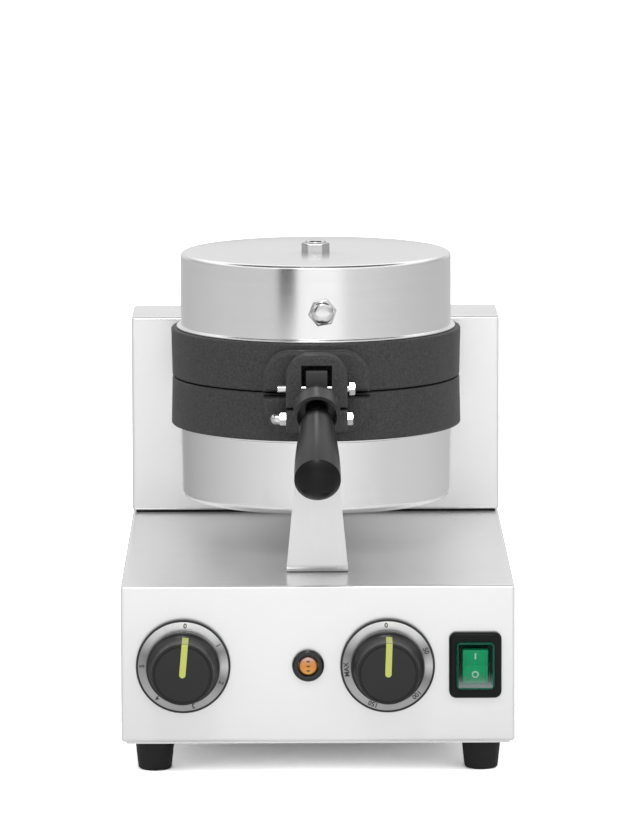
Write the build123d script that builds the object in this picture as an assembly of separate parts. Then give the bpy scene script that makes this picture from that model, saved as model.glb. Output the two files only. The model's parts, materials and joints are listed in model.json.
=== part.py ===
from build123d import *
import os
from math import asin, cos, radians, sin, sqrt

# A countertop press that seals and bakes filled buns between two heated round plates.
# Millimetres. X is to the right, Y to the back, Z up, and Z = 0 is the table that it stands on.

# Base box and rear column, in folded stainless sheet
BASE_W = 250.0
BASE_D = 365.0
BASE_H = 100.4
COLUMN_D = 65.0
COLUMN_H = 134.4
SHEET_T = 1.5
BEND_R = 2.0
FLANGE_W = 12.0
FLOOR_T = 1.5
FLOOR_INSET = 3.0
SCREW_PAST = 4.0
FOOT_TO_SCREW = 6.0
COVER_T = 1.2
COVER_GAP = 0.3
GASKET_T = 1.5
GASKET_INSET = 2.5
VENT_SLOT_L = 34.0
VENT_SLOT_W = 4.0
VENT_PITCH = 10.0
FLOOR_VENTS = 6
REAR_VENTS = 7

# Feet
FOOT_H = 21.0
FOOT_TOP_R = 12.8
FOOT_BOTTOM_R = 10.6
FOOT_EDGE_R = 2.0
FOOT_FROM_SIDE = 20.6
FOOT_FROM_END = 30.0
FOOT_RECESS_R = 5.6
FOOT_RECESS_H = 11.0

# Round head: where it stands over the base, and its two plates
HEAD_TO_COLUMN = 122.0
PARTING_H = 111.7
PARTING_GAP = 0.8
RING_H = 31.8
RING_END_R = 95.3
RING_PARTING_R = 94.6
SKIRT_T = 11.0
SKIRT_EDGE_R = 1.2
PLATE_FACE_T = 10.0
BOWL_MOUTH_R = 60.0
BOWL_FLOOR_R = 52.0
BOWL_DEPTH = 20.0
BOWL_FILLET_R = 8.0
BOWL_WALL_T = 7.0
BOWL_FLOOR_T = 8.0
SEAL_GAP = 0.3
SEAL_LIP_W = 4.0
GROOVE_W = 8.0
GROOVE_DEPTH = 1.8

# Casings over the plates
CASING_T = 1.2
UPPER_CASING_R = 89.0
UPPER_CASING_H = 49.8
UPPER_CASING_CORNER_R = 3.0
UPPER_FOOT_R = 91.8
LOWER_CASING_R = 89.4
LOWER_CASING_DRAFT = 0.8
LOWER_CASING_H = 49.2
LOWER_CASING_CORNER_R = 6.0
LOWER_FOOT_R = 90.6
FOOT_BEAD_H = 1.6

# Heating stack behind each plate
HEATER_RING_R = 34.0
HEATER_R = 4.0
HEATER_GROOVE = 1.0
HEATER_END_ANGLE = 14.0
HEATER_END_H = 22.0
STUD_BOSS_R = 9.5
STUD_BOSS_H = 5.0
STUD_DEPTH = 9.0
CLAMP_R = 42.0
CLAMP_T = 2.0
CLAMP_NOTCH_W = 26.0
MAT_T = 12.0
MAT_EDGE_GAP = 1.5
MAT_HOLE_R = 14.0
BULB_R = 3.4
BULB_L = 44.0
BULB_OFFSET = 17.0
BULB_GAP = 0.05

# Front pads of the castings, with the clevis and the latch lug, by their reach from the
# head's axis
PAD_REACH = 102.0
PAD_W = 68.5
PAD_TOP = 28.5
PAD_BOTTOM = 25.0
PAD_CORNER_R = 17.0
PAD_EDGE_R = 3.0
PAD_GAP = 3.4
CLEVIS_REACH = 120.0
CLEVIS_W = 39.5
CLEVIS_TOP = 27.5
CLEVIS_BOTTOM = 6.4
CLEVIS_CORNER_R = 14.0
CLEVIS_EDGE_R = 2.0
LUG_GAP = 1.1
LUG_BOTTOM = 22.0
SLOT_W = 19.7
SLOT_TOP = 21.2
SLOT_BACK_GAP = 1.2
SLOT_FLOOR_T = 4.5
STRUT_SCREW_IN_LUG = 3.5

# Latch handle
PIVOT_REACH = 113.0
PIVOT_ABOVE_PARTING = 5.4
PIN_R = 2.5
PIN_DROP = 19.4
HANDLE_DROP = 20.3
TONGUE_W = 13.6
TONGUE_TOP = 12.6
TONGUE_FRONT = 7.4
TONGUE_BACK = 5.0
TONGUE_EDGE_R = 1.5
HOOK_T = 5.4
HOOK_BELOW_PIN = 3.2
HOOK_CLEAR = 0.3
BELL_R = 15.0
BELL_LIP_T = 2.3
BELL_START = 13.0
BELL_START_R = 8.0
BELL_SHOULDER = 27.0
BELL_RIM = 38.7
CUP_DEPTH = 10.5
GRIP_NECK_R = 7.3
GRIP_R = 14.6
GRIP_BULGE = 0.92
GRIP_CREASE = 120.7
GRIP_DOME_H = 7.0
GRIP_STUD_R = 4.0
GRIP_STUD_IN_LEVER = 12.0
GRIP_STUD_IN_GRIP = 52.0

# Small fasteners, by their thread radius, width across flats and head height
M4_R = 2.0
M4_HEAD_R = 3.8
M4_HEAD_H = 2.4
M5_R = 2.5
M5_AF = 8.0
M5_HEAD_H = 3.6
M5_NUT_H = 4.0
M5_CAP_H = 10.0
M8_R = 4.0
M8_AF = 13.0
M8_HEAD_H = 5.3
M8_NUT_H = 6.5
M10_R = 5.0
M10_AF = 16.0
M10_NUT_H = 8.0
M10_CAP_HEX_H = 6.0
M10_CAP_H = 11.5
HOLE_CLEAR = 0.1
RUN_CLEAR = 0.06
SEAT_CLEAR = 0.05
DRILL_REACH = 4.0

# Bolts of the clevis and of the latch lug
PIVOT_HEAD_GAP = 1.4
PIVOT_END_OUT = 5.2

# Side bolt through the upper casing
SIDE_BOLT_X = 4.0
SIDE_BOLT_H = 51.8
SIDE_NUT_TURN = -10.0
SIDE_BRACKET_W = 30.0
SIDE_BRACKET_T = 2.0
SIDE_BRACKET_TOP = 14.0
SIDE_BRACKET_GRIP = 12.0
SIDE_BRACKET_CLEAR = 2.0

# Rear hinge
HINGE_TO_COLUMN = 15.0
HINGE_ABOVE_PARTING = 15.0
HINGE_PIN_R = 4.0
KNUCKLE_W = 30.0
KNUCKLE_R = 9.5
KNUCKLE_ROOT_H = 20.0
CHEEK_T = 5.0
CHEEK_R = 11.5
CHEEK_GAP = 0.3
BRACKET_PLATE_T = 4.0
BRACKET_PLATE_W = 84.0
BRACKET_MARGIN = 14.0
SUPPORT_DROP = 31.0
SUPPORT_LUG_R = 8.0
SUPPORT_ROOT_H = 18.0

# Front strut under the latch lug
STRUT_REACH = 129.4
STRUT_T = 2.5
STRUT_BEND_R = 2.5
STRUT_W = 39.5
STRUT_SHOULDER_W = 26.3
STRUT_SHOULDER_H = 71.0
STRUT_SHOULDER_R = 8.0
STRUT_NECK_W = 17.0
STRUT_FOOT_L = 26.0
STRUT_TOP_L = 16.0

# Controls on the front of the base: the timer's place from its left side, the others' from
# its right
CONTROL_BELOW_TOP = 50.9
TIMER_FROM_SIDE = 39.6
LAMP_FROM_SIDE = 131.2
THERMOSTAT_FROM_SIDE = 80.8
SWITCH_FROM_SIDE = 25.2
DIAL_R = 30.0
DIAL_RIM_W = 1.3
DIAL_H = 4.6
DIAL_SEAT_H = 3.4
DIAL_PLATE_T = 0.8
DIAL_BORE_R = 8.0
KNOB_BACK = 5.2
KNOB_SKIRT_R = 23.3
KNOB_SKIRT_FRONT = 11.6
KNOB_WAIST_R = 20.4
KNOB_WAIST = 18.5
KNOB_CAP_R = 19.6
KNOB_FRONT = 33.0
KNOB_EDGE_R = 1.6
KNOB_HOLLOW_R = 20.8
KNOB_HOLLOW = 4.5
POINTER_W = 4.0
POINTER_PROUD = 0.35
POINTER_DEEP = 1.2
POINTER_SIDE_END = 15.0
TIMER_REST = -5.0
THERMOSTAT_REST = -2.0
SHAFT_R = 3.0
SHAFT_IN_KNOB = 18.0
SHAFT_IN_BODY = 12.0
PANEL_HOLE_R = 5.0
TIMER_BODY_W = 44.0
TIMER_BODY_D = 36.0
THERMOSTAT_BODY_R = 19.0
THERMOSTAT_BODY_D = 30.0
LAMP_R = 10.2
LAMP_H = 4.6
LAMP_MOUTH_R = 6.9
LAMP_LENS_R = 5.6
LAMP_LENS_SEAT = 1.0
LAMP_LENS_SUNK = 1.6
LAMP_LENS_RISE = 2.1
LAMP_BODY_R = 6.0
LAMP_BODY_D = 24.0
SWITCH_W = 33.3
SWITCH_H = 42.3
SWITCH_CORNER_R = 4.6
SWITCH_PROUD = 4.6
SWITCH_BODY_W = 21.6
SWITCH_BODY_H = 29.8
SWITCH_BODY_D = 22.0
WINDOW_W = 24.4
WINDOW_H = 30.6
COVER_PROUD = 7.4
COVER_WALL = 1.2
COVER_CORNER_R = 3.0
COVER_FIT = 0.1
ROCKER_W = 16.0
ROCKER_H = 22.0
ROCKER_WELL_H = 25.0
ROCKER_WELL_D = 12.0
ROCKER_SIDE_GAP = 0.3
ROCKER_PIVOT_IN = 2.0
ROCKER_VALLEY = 1.4
ROCKER_END = 3.2
ROCKER_TILT = 9.0
ROCKER_PIN_R = 1.5
ROCKER_PIN_L = 1.2

# Inside and behind the base
TERMINAL_W = 46.0
TERMINAL_D = 22.0
TERMINAL_H = 18.0
TERMINAL_FROM_REAR = 60.0
GLAND_R = 10.0
GLAND_AF = 24.0
GLAND_HEX_H = 6.0
GLAND_OUT = 20.0
GLAND_IN = 8.0
GLAND_COLLAR_R = 11.2
GLAND_BORE_R = 4.0
MAINS_GLAND_FROM_SIDE = 35.0
MAINS_GLAND_H = 45.0
LEAD_GLAND_FROM_SIDE = 63.0
LEAD_GLAND_H = 52.0
LID_GLAND_ANGLE = 135.0
LID_GLAND_H = 62.0
LEAD_TUBE_R = 7.0
LEAD_TUBE_BORE_R = 5.0
LEAD_TUBE_FLANGE_R = 11.0
LEAD_TUBE_FLANGE_T = 2.0
LEAD_TUBE_BACK = 45.0
LEAD_TUBE_PAST = 5.0

# Levels and planes that follow from the sizes above
FLOOR_BOTTOM = FOOT_H
BASE_BOTTOM = FOOT_H + FLOOR_T
BASE_TOP = BASE_BOTTOM + BASE_H
COLUMN_TOP = BASE_TOP + COLUMN_H
PARTING_Z = BASE_TOP + PARTING_H
PIVOT_Z = PARTING_Z + PIVOT_ABOVE_PARTING
CONTROL_Z = BASE_TOP - CONTROL_BELOW_TOP
TIMER_X = TIMER_FROM_SIDE - BASE_W / 2
LAMP_X = BASE_W / 2 - LAMP_FROM_SIDE
THERMOSTAT_X = BASE_W / 2 - THERMOSTAT_FROM_SIDE
SWITCH_X = BASE_W / 2 - SWITCH_FROM_SIDE
FOOT_X = BASE_W / 2 - FOOT_FROM_SIDE
MAINS_GLAND_X = MAINS_GLAND_FROM_SIDE - BASE_W / 2
LEAD_GLAND_X = LEAD_GLAND_FROM_SIDE - BASE_W / 2
DOME_SPHERE_R = (GRIP_R**2 + GRIP_DOME_H**2) / (2 * GRIP_DOME_H)
DOME_CENTRE = GRIP_CREASE + GRIP_DOME_H - DOME_SPHERE_R
HEAD_FROM_FRONT = BASE_D - COLUMN_D - HEAD_TO_COLUMN
PIVOT_FROM_FRONT = HEAD_FROM_FRONT - PIVOT_REACH
HANDLE_REACH = DOME_CENTRE * cos(radians(HANDLE_DROP)) + DOME_SPHERE_R - PIVOT_FROM_FRONT
FRONT_Y = (HANDLE_REACH - BASE_D - GLAND_OUT) / 2
REAR_Y = FRONT_Y + BASE_D
COLUMN_Y = REAR_Y - COLUMN_D
HEAD_Y = FRONT_Y + HEAD_FROM_FRONT
PAD_FRONT_Y = HEAD_Y - PAD_REACH
CLEVIS_FRONT_Y = HEAD_Y - CLEVIS_REACH
PIVOT_Y = HEAD_Y - PIVOT_REACH
STRUT_FRONT_Y = HEAD_Y - STRUT_REACH
HINGE_Y = COLUMN_Y - HINGE_TO_COLUMN
HINGE_Z = PARTING_Z + HINGE_ABOVE_PARTING
LATCH_Z = PIVOT_Z - PIN_DROP
SUPPORT_Z = HINGE_Z - SUPPORT_DROP
SKIRT_IN_R = RING_END_R - SKIRT_T
BOWL_BACK = BOWL_DEPTH + BOWL_FLOOR_T
CLAMP_BACK = BOWL_BACK + 2 * HEATER_R - HEATER_GROOVE
MAT_BACK = CLAMP_BACK + CLAMP_T
UPPER_TOP = RING_H + UPPER_CASING_H
LOWER_END = RING_H + LOWER_CASING_H
CHEEK_IN_X = KNUCKLE_W / 2 + CHEEK_GAP
CHEEK_OUT_X = CHEEK_IN_X + CHEEK_T


# Shapes that several pieces share


def turned(points):
    """A closed outline of (radius, height) points, turned about Z."""
    outline = Polyline(*[(r, 0, z) for r, z in points], close=True)
    return revolve(make_face(outline), axis=Axis.Z)


def dome_middle(radius, rise):
    """The point halfway down a shallow dome's arc, as its distance from the axis and height."""
    ball = (radius**2 + rise**2) / (2 * rise)
    half = asin(radius / ball) / 2
    return ball * sin(half), rise - ball * (1 - cos(half))


def disc(radius, height, hole=0.0):
    """A disc on Z = 0, with a hole if one is given."""
    body = extrude(Circle(radius), height)
    if hole:
        body -= extrude(Circle(hole), height)
    return body


def drill(radius, reach=DRILL_REACH):
    """A round cut along Z through what lies within reach of the origin."""
    return Pos(0, 0, -reach) * disc(radius, 2 * reach)


def hexagon(width, height, hole=0.0):
    """A hexagon on Z = 0 with its corners eased as a turned blank leaves them."""
    body = extrude(RegularPolygon(width / 2, 6, major_radius=False), height)
    corner = width / sqrt(3)
    ease = corner - width / 2
    cone = turned(
        [(0, 0), (corner, 0), (corner, height - ease), (width / 2, height), (0, height)]
    )
    body &= cone
    if hole:
        body -= extrude(Circle(hole), height)
    return body


def cap_nut(width, hex_h, height, hole, depth):
    """A domed nut on Z = 0: a hexagon, a short neck and a round cap."""
    dome_r = width / 2 - 0.4
    neck = height - dome_r
    body = hexagon(width, hex_h) + disc(dome_r, max(neck, hex_h))
    body += Pos(0, 0, max(neck, hex_h)) * (
        Sphere(dome_r) & Pos(0, 0, dome_r) * Box(3 * dome_r, 3 * dome_r, 2 * dome_r)
    )
    body &= disc(width, height)
    return body - disc(hole, depth)


def hex_bolt(radius, width, head_h, length):
    """A hexagon bolt with its head under Z = 0 and its shank up Z."""
    head = Rot(180, 0, 0) * hexagon(width, head_h)
    return head + disc(radius, length)


def pan_screw(radius, head_r, head_h, length):
    """A screw with a low round head under Z = 0 and its shank up Z."""
    head = turned(
        [(0, 0), (head_r, 0), (head_r, -head_h * 0.5), (head_r * 0.7, -head_h), (0, -head_h)]
    )
    return head + disc(radius, length)


def facing(x, y, z, direction):
    """Places a piece so that its Z runs along direction."""
    across = (0, 1, 0) if abs(direction[0]) > 0.7 else (1, 0, 0)
    return Plane(origin=(x, y, z), x_dir=across, z_dir=direction).location


def on_panel(x):
    """A control's seat on the front of the base: its Z runs out towards the user."""
    return facing(x, FRONT_Y, CONTROL_Z, (0, -1, 0))


def on_handle():
    """The handle's own axis, from the pivot out to the end of the grip."""
    drop = radians(HANDLE_DROP)
    return facing(0, PIVOT_Y, PIVOT_Z, (0, -cos(drop), -sin(drop)))


def in_head(part, side):
    """Sets a half that was drawn upwards from the parting plane: side 1 above it, -1 below."""
    if side < 0:
        part = mirror(part, about=Plane.XY)
    return Pos(0, HEAD_Y, PARTING_Z) * part


def slots(count, pitch, length, width, depth):
    """A row of upright slots along X, cut along Z, centred on the origin."""
    first = -pitch * (count - 1) / 2
    cut = extrude(SlotOverall(length, width, rotation=90), depth / 2, both=True)
    return [Pos(first + n * pitch, 0, 0) * cut for n in range(count)]


# Base box


def floor_screw_points():
    x = BASE_W / 2 - SHEET_T - FLANGE_W / 2
    inset = FOOT_FROM_END + FOOT_TOP_R + M4_HEAD_R + FOOT_TO_SCREW
    near = FRONT_Y + inset
    far = REAR_Y - inset
    return [(s * x, y) for s in (-1, 1) for y in (near, (near + far) / 2, far)]


def foot_points():
    ends = (FRONT_Y + FOOT_FROM_END, REAR_Y - FOOT_FROM_END)
    return [(s * FOOT_X, y) for s in (-1, 1) for y in ends]


def column_screw_points():
    x = BASE_W / 2 - 2 * FLANGE_W
    y = COLUMN_Y + COLUMN_D / 2
    return [(s * x, y) for s in (-1, 1)]


def strut_foot_points():
    y = STRUT_FRONT_Y + STRUT_FOOT_L - M5_AF
    return [(s * STRUT_W / 4, y) for s in (-1, 1)]


def base_housing():
    centre = Pos(0, FRONT_Y + BASE_D / 2, BASE_BOTTOM + BASE_H / 2)
    shell = Box(BASE_W, BASE_D, BASE_H)
    shell = fillet(shell.edges(), BEND_R)
    inside = Box(BASE_W - 2 * SHEET_T, BASE_D - 2 * SHEET_T, BASE_H - 2 * SHEET_T)
    mouth = Box(BASE_W - 2 * SHEET_T - 2 * FLANGE_W, BASE_D - 2 * SHEET_T - 2 * FLANGE_W, BASE_H)
    shell = centre * (shell - inside - Pos(0, 0, -BASE_H / 2) * mouth)
    for x in (TIMER_X, THERMOSTAT_X):
        shell -= on_panel(x) * drill(PANEL_HOLE_R)
    shell -= on_panel(LAMP_X) * drill(LAMP_BODY_R + HOLE_CLEAR)
    opening = Box(
        SWITCH_BODY_W + 2 * HOLE_CLEAR, SWITCH_BODY_H + 2 * HOLE_CLEAR, 2 * DRILL_REACH
    )
    shell -= on_panel(SWITCH_X) * opening
    for x, y in strut_foot_points():
        shell -= Pos(x, y, BASE_TOP) * drill(M5_R + HOLE_CLEAR)
    for x, y in column_screw_points():
        shell -= Pos(x, y, BASE_TOP) * drill(M4_R + HOLE_CLEAR)
    for x, y in floor_screw_points():
        shell -= Pos(x, y, BASE_BOTTOM) * drill(M4_R + HOLE_CLEAR)
    tube_y = HEAD_Y + LEAD_TUBE_BACK
    shell -= Pos(0, tube_y, BASE_TOP) * drill(LEAD_TUBE_R + HOLE_CLEAR)
    shell -= Pos(0, COLUMN_Y + COLUMN_D / 2, BASE_TOP) * drill(GLAND_R)
    gland = facing(MAINS_GLAND_X, REAR_Y, BASE_BOTTOM + MAINS_GLAND_H, (0, 1, 0))
    return shell - gland * drill(GLAND_R + HOLE_CLEAR)


def base_floor():
    y = FRONT_Y + BASE_D / 2
    width = BASE_W - 2 * FLOOR_INSET
    depth = BASE_D - 2 * FLOOR_INSET
    plate = Pos(0, y, FLOOR_BOTTOM + FLOOR_T / 2) * Box(width, depth, FLOOR_T)
    for x, hole_y in floor_screw_points():
        plate -= Pos(x, hole_y, FLOOR_BOTTOM) * drill(M4_R + HOLE_CLEAR)
    for x, hole_y in foot_points():
        plate -= Pos(x, hole_y, FLOOR_BOTTOM) * drill(M5_R + HOLE_CLEAR)
    for row in (-1, 1):
        here = Pos(0, y + row * VENT_SLOT_L, FLOOR_BOTTOM)
        for cut in slots(FLOOR_VENTS, VENT_PITCH, VENT_SLOT_L, VENT_SLOT_W, 4 * FLOOR_T):
            plate -= here * cut
    return plate


def foot():
    outline = make_face(
        Polyline(
            (0, 0, FOOT_H),
            (FOOT_TOP_R, 0, FOOT_H),
            (FOOT_BOTTOM_R, 0, 0),
            (0, 0, 0),
            close=True,
        )
    )
    edge = outline.vertices().sort_by_distance((FOOT_BOTTOM_R, 0, 0))[0]
    body = revolve(fillet(edge, FOOT_EDGE_R), axis=Axis.Z)
    body -= disc(FOOT_RECESS_R, FOOT_RECESS_H)
    return body - disc(M5_R + HOLE_CLEAR, FOOT_H)


def feet():
    return [Pos(x, y, 0) * foot() for x, y in foot_points()]


def foot_screws():
    length = FOOT_H - FOOT_RECESS_H + FLOOR_T + SCREW_PAST
    screw = pan_screw(M5_R, M5_AF / 2, M5_HEAD_H, length)
    return [Pos(x, y, FOOT_RECESS_H) * screw for x, y in foot_points()]


# Rear column


def cover_screw_points():
    x = BASE_W / 2 - SHEET_T - FLANGE_W / 2
    low = BASE_TOP + GASKET_T + SHEET_T + FLANGE_W / 2
    high = COLUMN_TOP - SHEET_T - FLANGE_W / 2
    return [(s * x, z) for s in (-1, 1) for z in (low, high)]


def bracket_levels():
    """The lowest and highest level of the hinge bracket's back plate."""
    return SUPPORT_Z - BRACKET_MARGIN - M5_AF / 2, min(HINGE_Z + BRACKET_MARGIN, COLUMN_TOP - BEND_R)


def bracket_screw_points():
    low, high = bracket_levels()
    x = BRACKET_PLATE_W / 2 - M5_AF
    return [(s * x, z) for s in (-1, 1) for z in (low + M5_AF, high - M5_AF)]


def column_housing():
    height = COLUMN_H - GASKET_T
    y_mid = COLUMN_Y + COLUMN_D / 2
    z_mid = COLUMN_TOP - height / 2
    shell = Box(BASE_W, COLUMN_D, height)
    soft = [e for e in shell.edges() if e.center().Y < COLUMN_D / 2 - 0.01]
    shell = fillet(soft, BEND_R)
    rear_wall = COVER_T + SHEET_T
    inside = Box(BASE_W - 2 * SHEET_T, COLUMN_D - SHEET_T - rear_wall, height - 2 * SHEET_T)
    shell -= Pos(0, (SHEET_T - rear_wall) / 2, 0) * inside
    recess = Box(BASE_W - 2 * SHEET_T, COVER_T, height - 2 * SHEET_T)
    shell -= Pos(0, (COLUMN_D - COVER_T) / 2, 0) * recess
    mouth = Box(
        BASE_W - 2 * SHEET_T - 2 * FLANGE_W, COLUMN_D, height - 2 * SHEET_T - 2 * FLANGE_W
    )
    shell = Pos(0, y_mid, z_mid) * (shell - Pos(0, COLUMN_D / 2, 0) * mouth)
    for x, z in cover_screw_points():
        shell -= facing(x, REAR_Y, z, (0, -1, 0)) * drill(M4_R + HOLE_CLEAR)
    for x, z in bracket_screw_points():
        shell -= facing(x, COLUMN_Y, z, (0, 1, 0)) * drill(M5_R + HOLE_CLEAR)
    lead = facing(LEAD_GLAND_X, COLUMN_Y, BASE_TOP + LEAD_GLAND_H, (0, 1, 0))
    shell -= lead * drill(GLAND_R + HOLE_CLEAR)
    foot = BASE_TOP + GASKET_T
    for x, y in column_screw_points():
        shell -= Pos(x, y, foot) * drill(M4_R + HOLE_CLEAR)
    return shell - Pos(0, y_mid, foot) * drill(GLAND_R)


def column_gasket():
    y_mid = COLUMN_Y + COLUMN_D / 2
    outer = Box(BASE_W - 2 * GASKET_INSET, COLUMN_D - 2 * GASKET_INSET, GASKET_T)
    inner = Box(BASE_W - 2 * FLANGE_W, COLUMN_D - 2 * FLANGE_W, 2 * GASKET_T)
    return Pos(0, y_mid, BASE_TOP + GASKET_T / 2) * (outer - inner)


def column_back_cover():
    height = COLUMN_H - GASKET_T - 2 * SHEET_T - 2 * COVER_GAP
    width = BASE_W - 2 * SHEET_T - 2 * COVER_GAP
    z_mid = COLUMN_TOP - (COLUMN_H - GASKET_T) / 2
    plate = Pos(0, REAR_Y - COVER_T / 2, z_mid) * Box(width, COVER_T, height)
    for x, z in cover_screw_points():
        plate -= facing(x, REAR_Y, z, (0, -1, 0)) * drill(M4_R + HOLE_CLEAR)
    panel = facing(0, REAR_Y, z_mid, (0, 1, 0))
    for cut in slots(REAR_VENTS, VENT_PITCH, VENT_SLOT_L, VENT_SLOT_W, 4 * COVER_T):
        plate -= panel * cut
    return plate


def sheet_screws():
    """The small round-headed screws of the floor, the back cover and the column's foot."""
    floor = pan_screw(M4_R, M4_HEAD_R, M4_HEAD_H, FLOOR_T + SHEET_T + SCREW_PAST)
    cover = pan_screw(M4_R, M4_HEAD_R, M4_HEAD_H, COVER_T + SHEET_T + SCREW_PAST)
    column = pan_screw(M4_R, M4_HEAD_R, M4_HEAD_H, 2 * SHEET_T + GASKET_T + SCREW_PAST)
    found = [Pos(x, y, FLOOR_BOTTOM) * floor for x, y in floor_screw_points()]
    found += [facing(x, REAR_Y, z, (0, -1, 0)) * cover for x, z in cover_screw_points()]
    found += [Pos(x, y, BASE_TOP - SHEET_T) * column for x, y in column_screw_points()]
    return found


# Plates


def casting(side):
    """One cooking plate: a skirted ring, a bowl for half a bun and a boss for its stud."""
    lip = SEAL_GAP / 2
    face = PARTING_GAP / 2
    bowl_out = BOWL_MOUTH_R + BOWL_WALL_T
    groove = BOWL_MOUTH_R + SEAL_LIP_W
    outline = make_face(
        Polyline(
            (0, 0, BOWL_DEPTH),
            (BOWL_FLOOR_R, 0, BOWL_DEPTH),
            (BOWL_MOUTH_R, 0, lip),
            (groove, 0, lip),
            (groove + GROOVE_DEPTH, 0, GROOVE_DEPTH),
            (groove + GROOVE_W - GROOVE_DEPTH, 0, GROOVE_DEPTH),
            (groove + GROOVE_W, 0, face),
            (RING_PARTING_R, 0, face),
            (RING_END_R, 0, RING_H),
            (SKIRT_IN_R, 0, RING_H),
            (SKIRT_IN_R, 0, PLATE_FACE_T),
            (bowl_out, 0, PLATE_FACE_T),
            (BOWL_FLOOR_R + BOWL_WALL_T / 2, 0, BOWL_BACK),
            (0, 0, BOWL_BACK),
            close=True,
        )
    )
    floor_corner = outline.vertices().sort_by_distance((BOWL_FLOOR_R, 0, BOWL_DEPTH))[0]
    outline = fillet(floor_corner, BOWL_FILLET_R)
    for radius, level in ((RING_END_R, RING_H), (RING_PARTING_R, face)):
        corner = outline.vertices().sort_by_distance((radius, 0, level))[0]
        outline = fillet(corner, SKIRT_EDGE_R)
    body = revolve(outline, axis=Axis.Z)
    body += Pos(0, 0, BOWL_BACK - 1) * disc(STUD_BOSS_R, STUD_BOSS_H + 1)
    body -= Pos(0, 0, BOWL_BACK + STUD_BOSS_H - STUD_DEPTH) * disc(M10_R + HOLE_CLEAR, STUD_DEPTH)
    body -= Pos(0, 0, BOWL_BACK + HEATER_R - HEATER_GROOVE) * Torus(
        HEATER_RING_R, HEATER_R + HOLE_CLEAR
    )
    return in_head(body, side)


def pad_outline(low, high):
    """The rounded front pad's outline between two levels over the parting plane."""
    centre = (PAD_TOP - PAD_BOTTOM) / 2
    full = Pos(0, centre) * RectangleRounded(PAD_W, PAD_TOP + PAD_BOTTOM, PAD_CORNER_R)
    window = Pos(0, (low + high) / 2) * Rectangle(2 * PAD_W, high - low)
    return full & window


def pad(low, high):
    """A cast pad from its front face back into the ring's wall."""
    to_front = facing(0, PAD_FRONT_Y, PARTING_Z, (0, -1, 0))
    block = extrude(pad_outline(low, high), SKIRT_IN_R - PAD_REACH - 1.5 * SKIRT_T)
    front = block.faces().sort_by(Axis.Z)[-1]
    block = to_front * fillet(front.edges(), PAD_EDGE_R)
    return block - Pos(0, HEAD_Y, PARTING_Z - RING_H) * disc(SKIRT_IN_R + 1, 2 * RING_H)


def ear_block(width, low, high, corner_r):
    """A block that stands out from the pad to the clevis' front, rounded at one end."""
    to_front = facing(0, CLEVIS_FRONT_Y, PARTING_Z, (0, -1, 0))
    outline = Pos(0, (low + high) / 2) * Rectangle(width, high - low)
    outer = high if abs(high) > abs(low) else low
    corners = [v for v in outline.vertices() if abs(v.Y - outer) < 0.01]
    outline = fillet(corners, corner_r)
    block = extrude(outline, PAD_REACH - CLEVIS_REACH - PAD_EDGE_R - 1)
    front = block.faces().sort_by(Axis.Z)[-1]
    return to_front * fillet(front.edges(), CLEVIS_EDGE_R)


def slot_cut(low, high):
    """The slot that the lever's tongue and hook swing in."""
    swing = sqrt(TONGUE_TOP**2 + TONGUE_BACK**2)
    back = PIVOT_Y + swing + SLOT_BACK_GAP
    front = CLEVIS_FRONT_Y - CLEVIS_EDGE_R
    middle = (front + back) / 2
    return Pos(0, middle, PARTING_Z + (low + high) / 2) * Box(SLOT_W, back - front, high - low)


def rod_hole(y, z, radius, length):
    """A hole along X."""
    return facing(-length / 2, y, z, (1, 0, 0)) * disc(radius, length)


def rear_lug(z, radius, root_h, root_z, bore):
    """An eye behind the ring, joined to its wall by a flank that narrows to the eye."""
    wall_y = HEAD_Y + RING_PARTING_R - SKIRT_T / 2
    eye = Pos(HINGE_Y, z) * Circle(radius)
    root = Pos(wall_y, root_z) * Rectangle(SKIRT_T / 2, root_h)
    side = make_hull(eye.edges() + root.edges())
    lug = extrude(Plane.YZ * side, KNUCKLE_W / 2, both=True)
    return lug - rod_hole(HINGE_Y, z, bore, 2 * KNUCKLE_W)


def upper_plate():
    half_gap = PAD_GAP / 2
    body = casting(1) + pad(half_gap, PAD_TOP)
    body += ear_block(CLEVIS_W, -CLEVIS_BOTTOM, CLEVIS_TOP, CLEVIS_CORNER_R)
    under = Pos(0, PAD_FRONT_Y + (PAD_REACH - PAD_EDGE_R) / 2, PARTING_Z - RING_H / 2)
    body -= under * Box(PAD_W, PAD_REACH, RING_H)
    body += casting(1)
    body -= slot_cut(-RING_H, SLOT_TOP)
    body -= rod_hole(PIVOT_Y, PIVOT_Z, M5_R + HOLE_CLEAR / 2, 2 * CLEVIS_W)
    root_z = PARTING_Z + RING_H / 2
    body += rear_lug(HINGE_Z, KNUCKLE_R, KNUCKLE_ROOT_H, root_z, HINGE_PIN_R + RUN_CLEAR)
    return body


def lug_top():
    return -CLEVIS_BOTTOM - LUG_GAP


def lower_plate():
    half_gap = PAD_GAP / 2
    body = casting(-1) + pad(-PAD_BOTTOM, -half_gap)
    body += ear_block(CLEVIS_W, -LUG_BOTTOM, lug_top(), CLEVIS_EDGE_R)
    body -= slot_cut(SLOT_FLOOR_T - LUG_BOTTOM, RING_H / 2)
    body -= rod_hole(PIVOT_Y, LATCH_Z, M5_R + HOLE_CLEAR / 2, 2 * CLEVIS_W)
    x, y, z = strut_top_point()
    body -= Pos(x, y, z) * disc(M5_R + HOLE_CLEAR / 2, STRUT_SCREW_IN_LUG)
    root_z = PARTING_Z - RING_H / 2
    body += rear_lug(SUPPORT_Z, SUPPORT_LUG_R, SUPPORT_ROOT_H, root_z, M8_R + HOLE_CLEAR)
    return body


# Heating stacks


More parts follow.
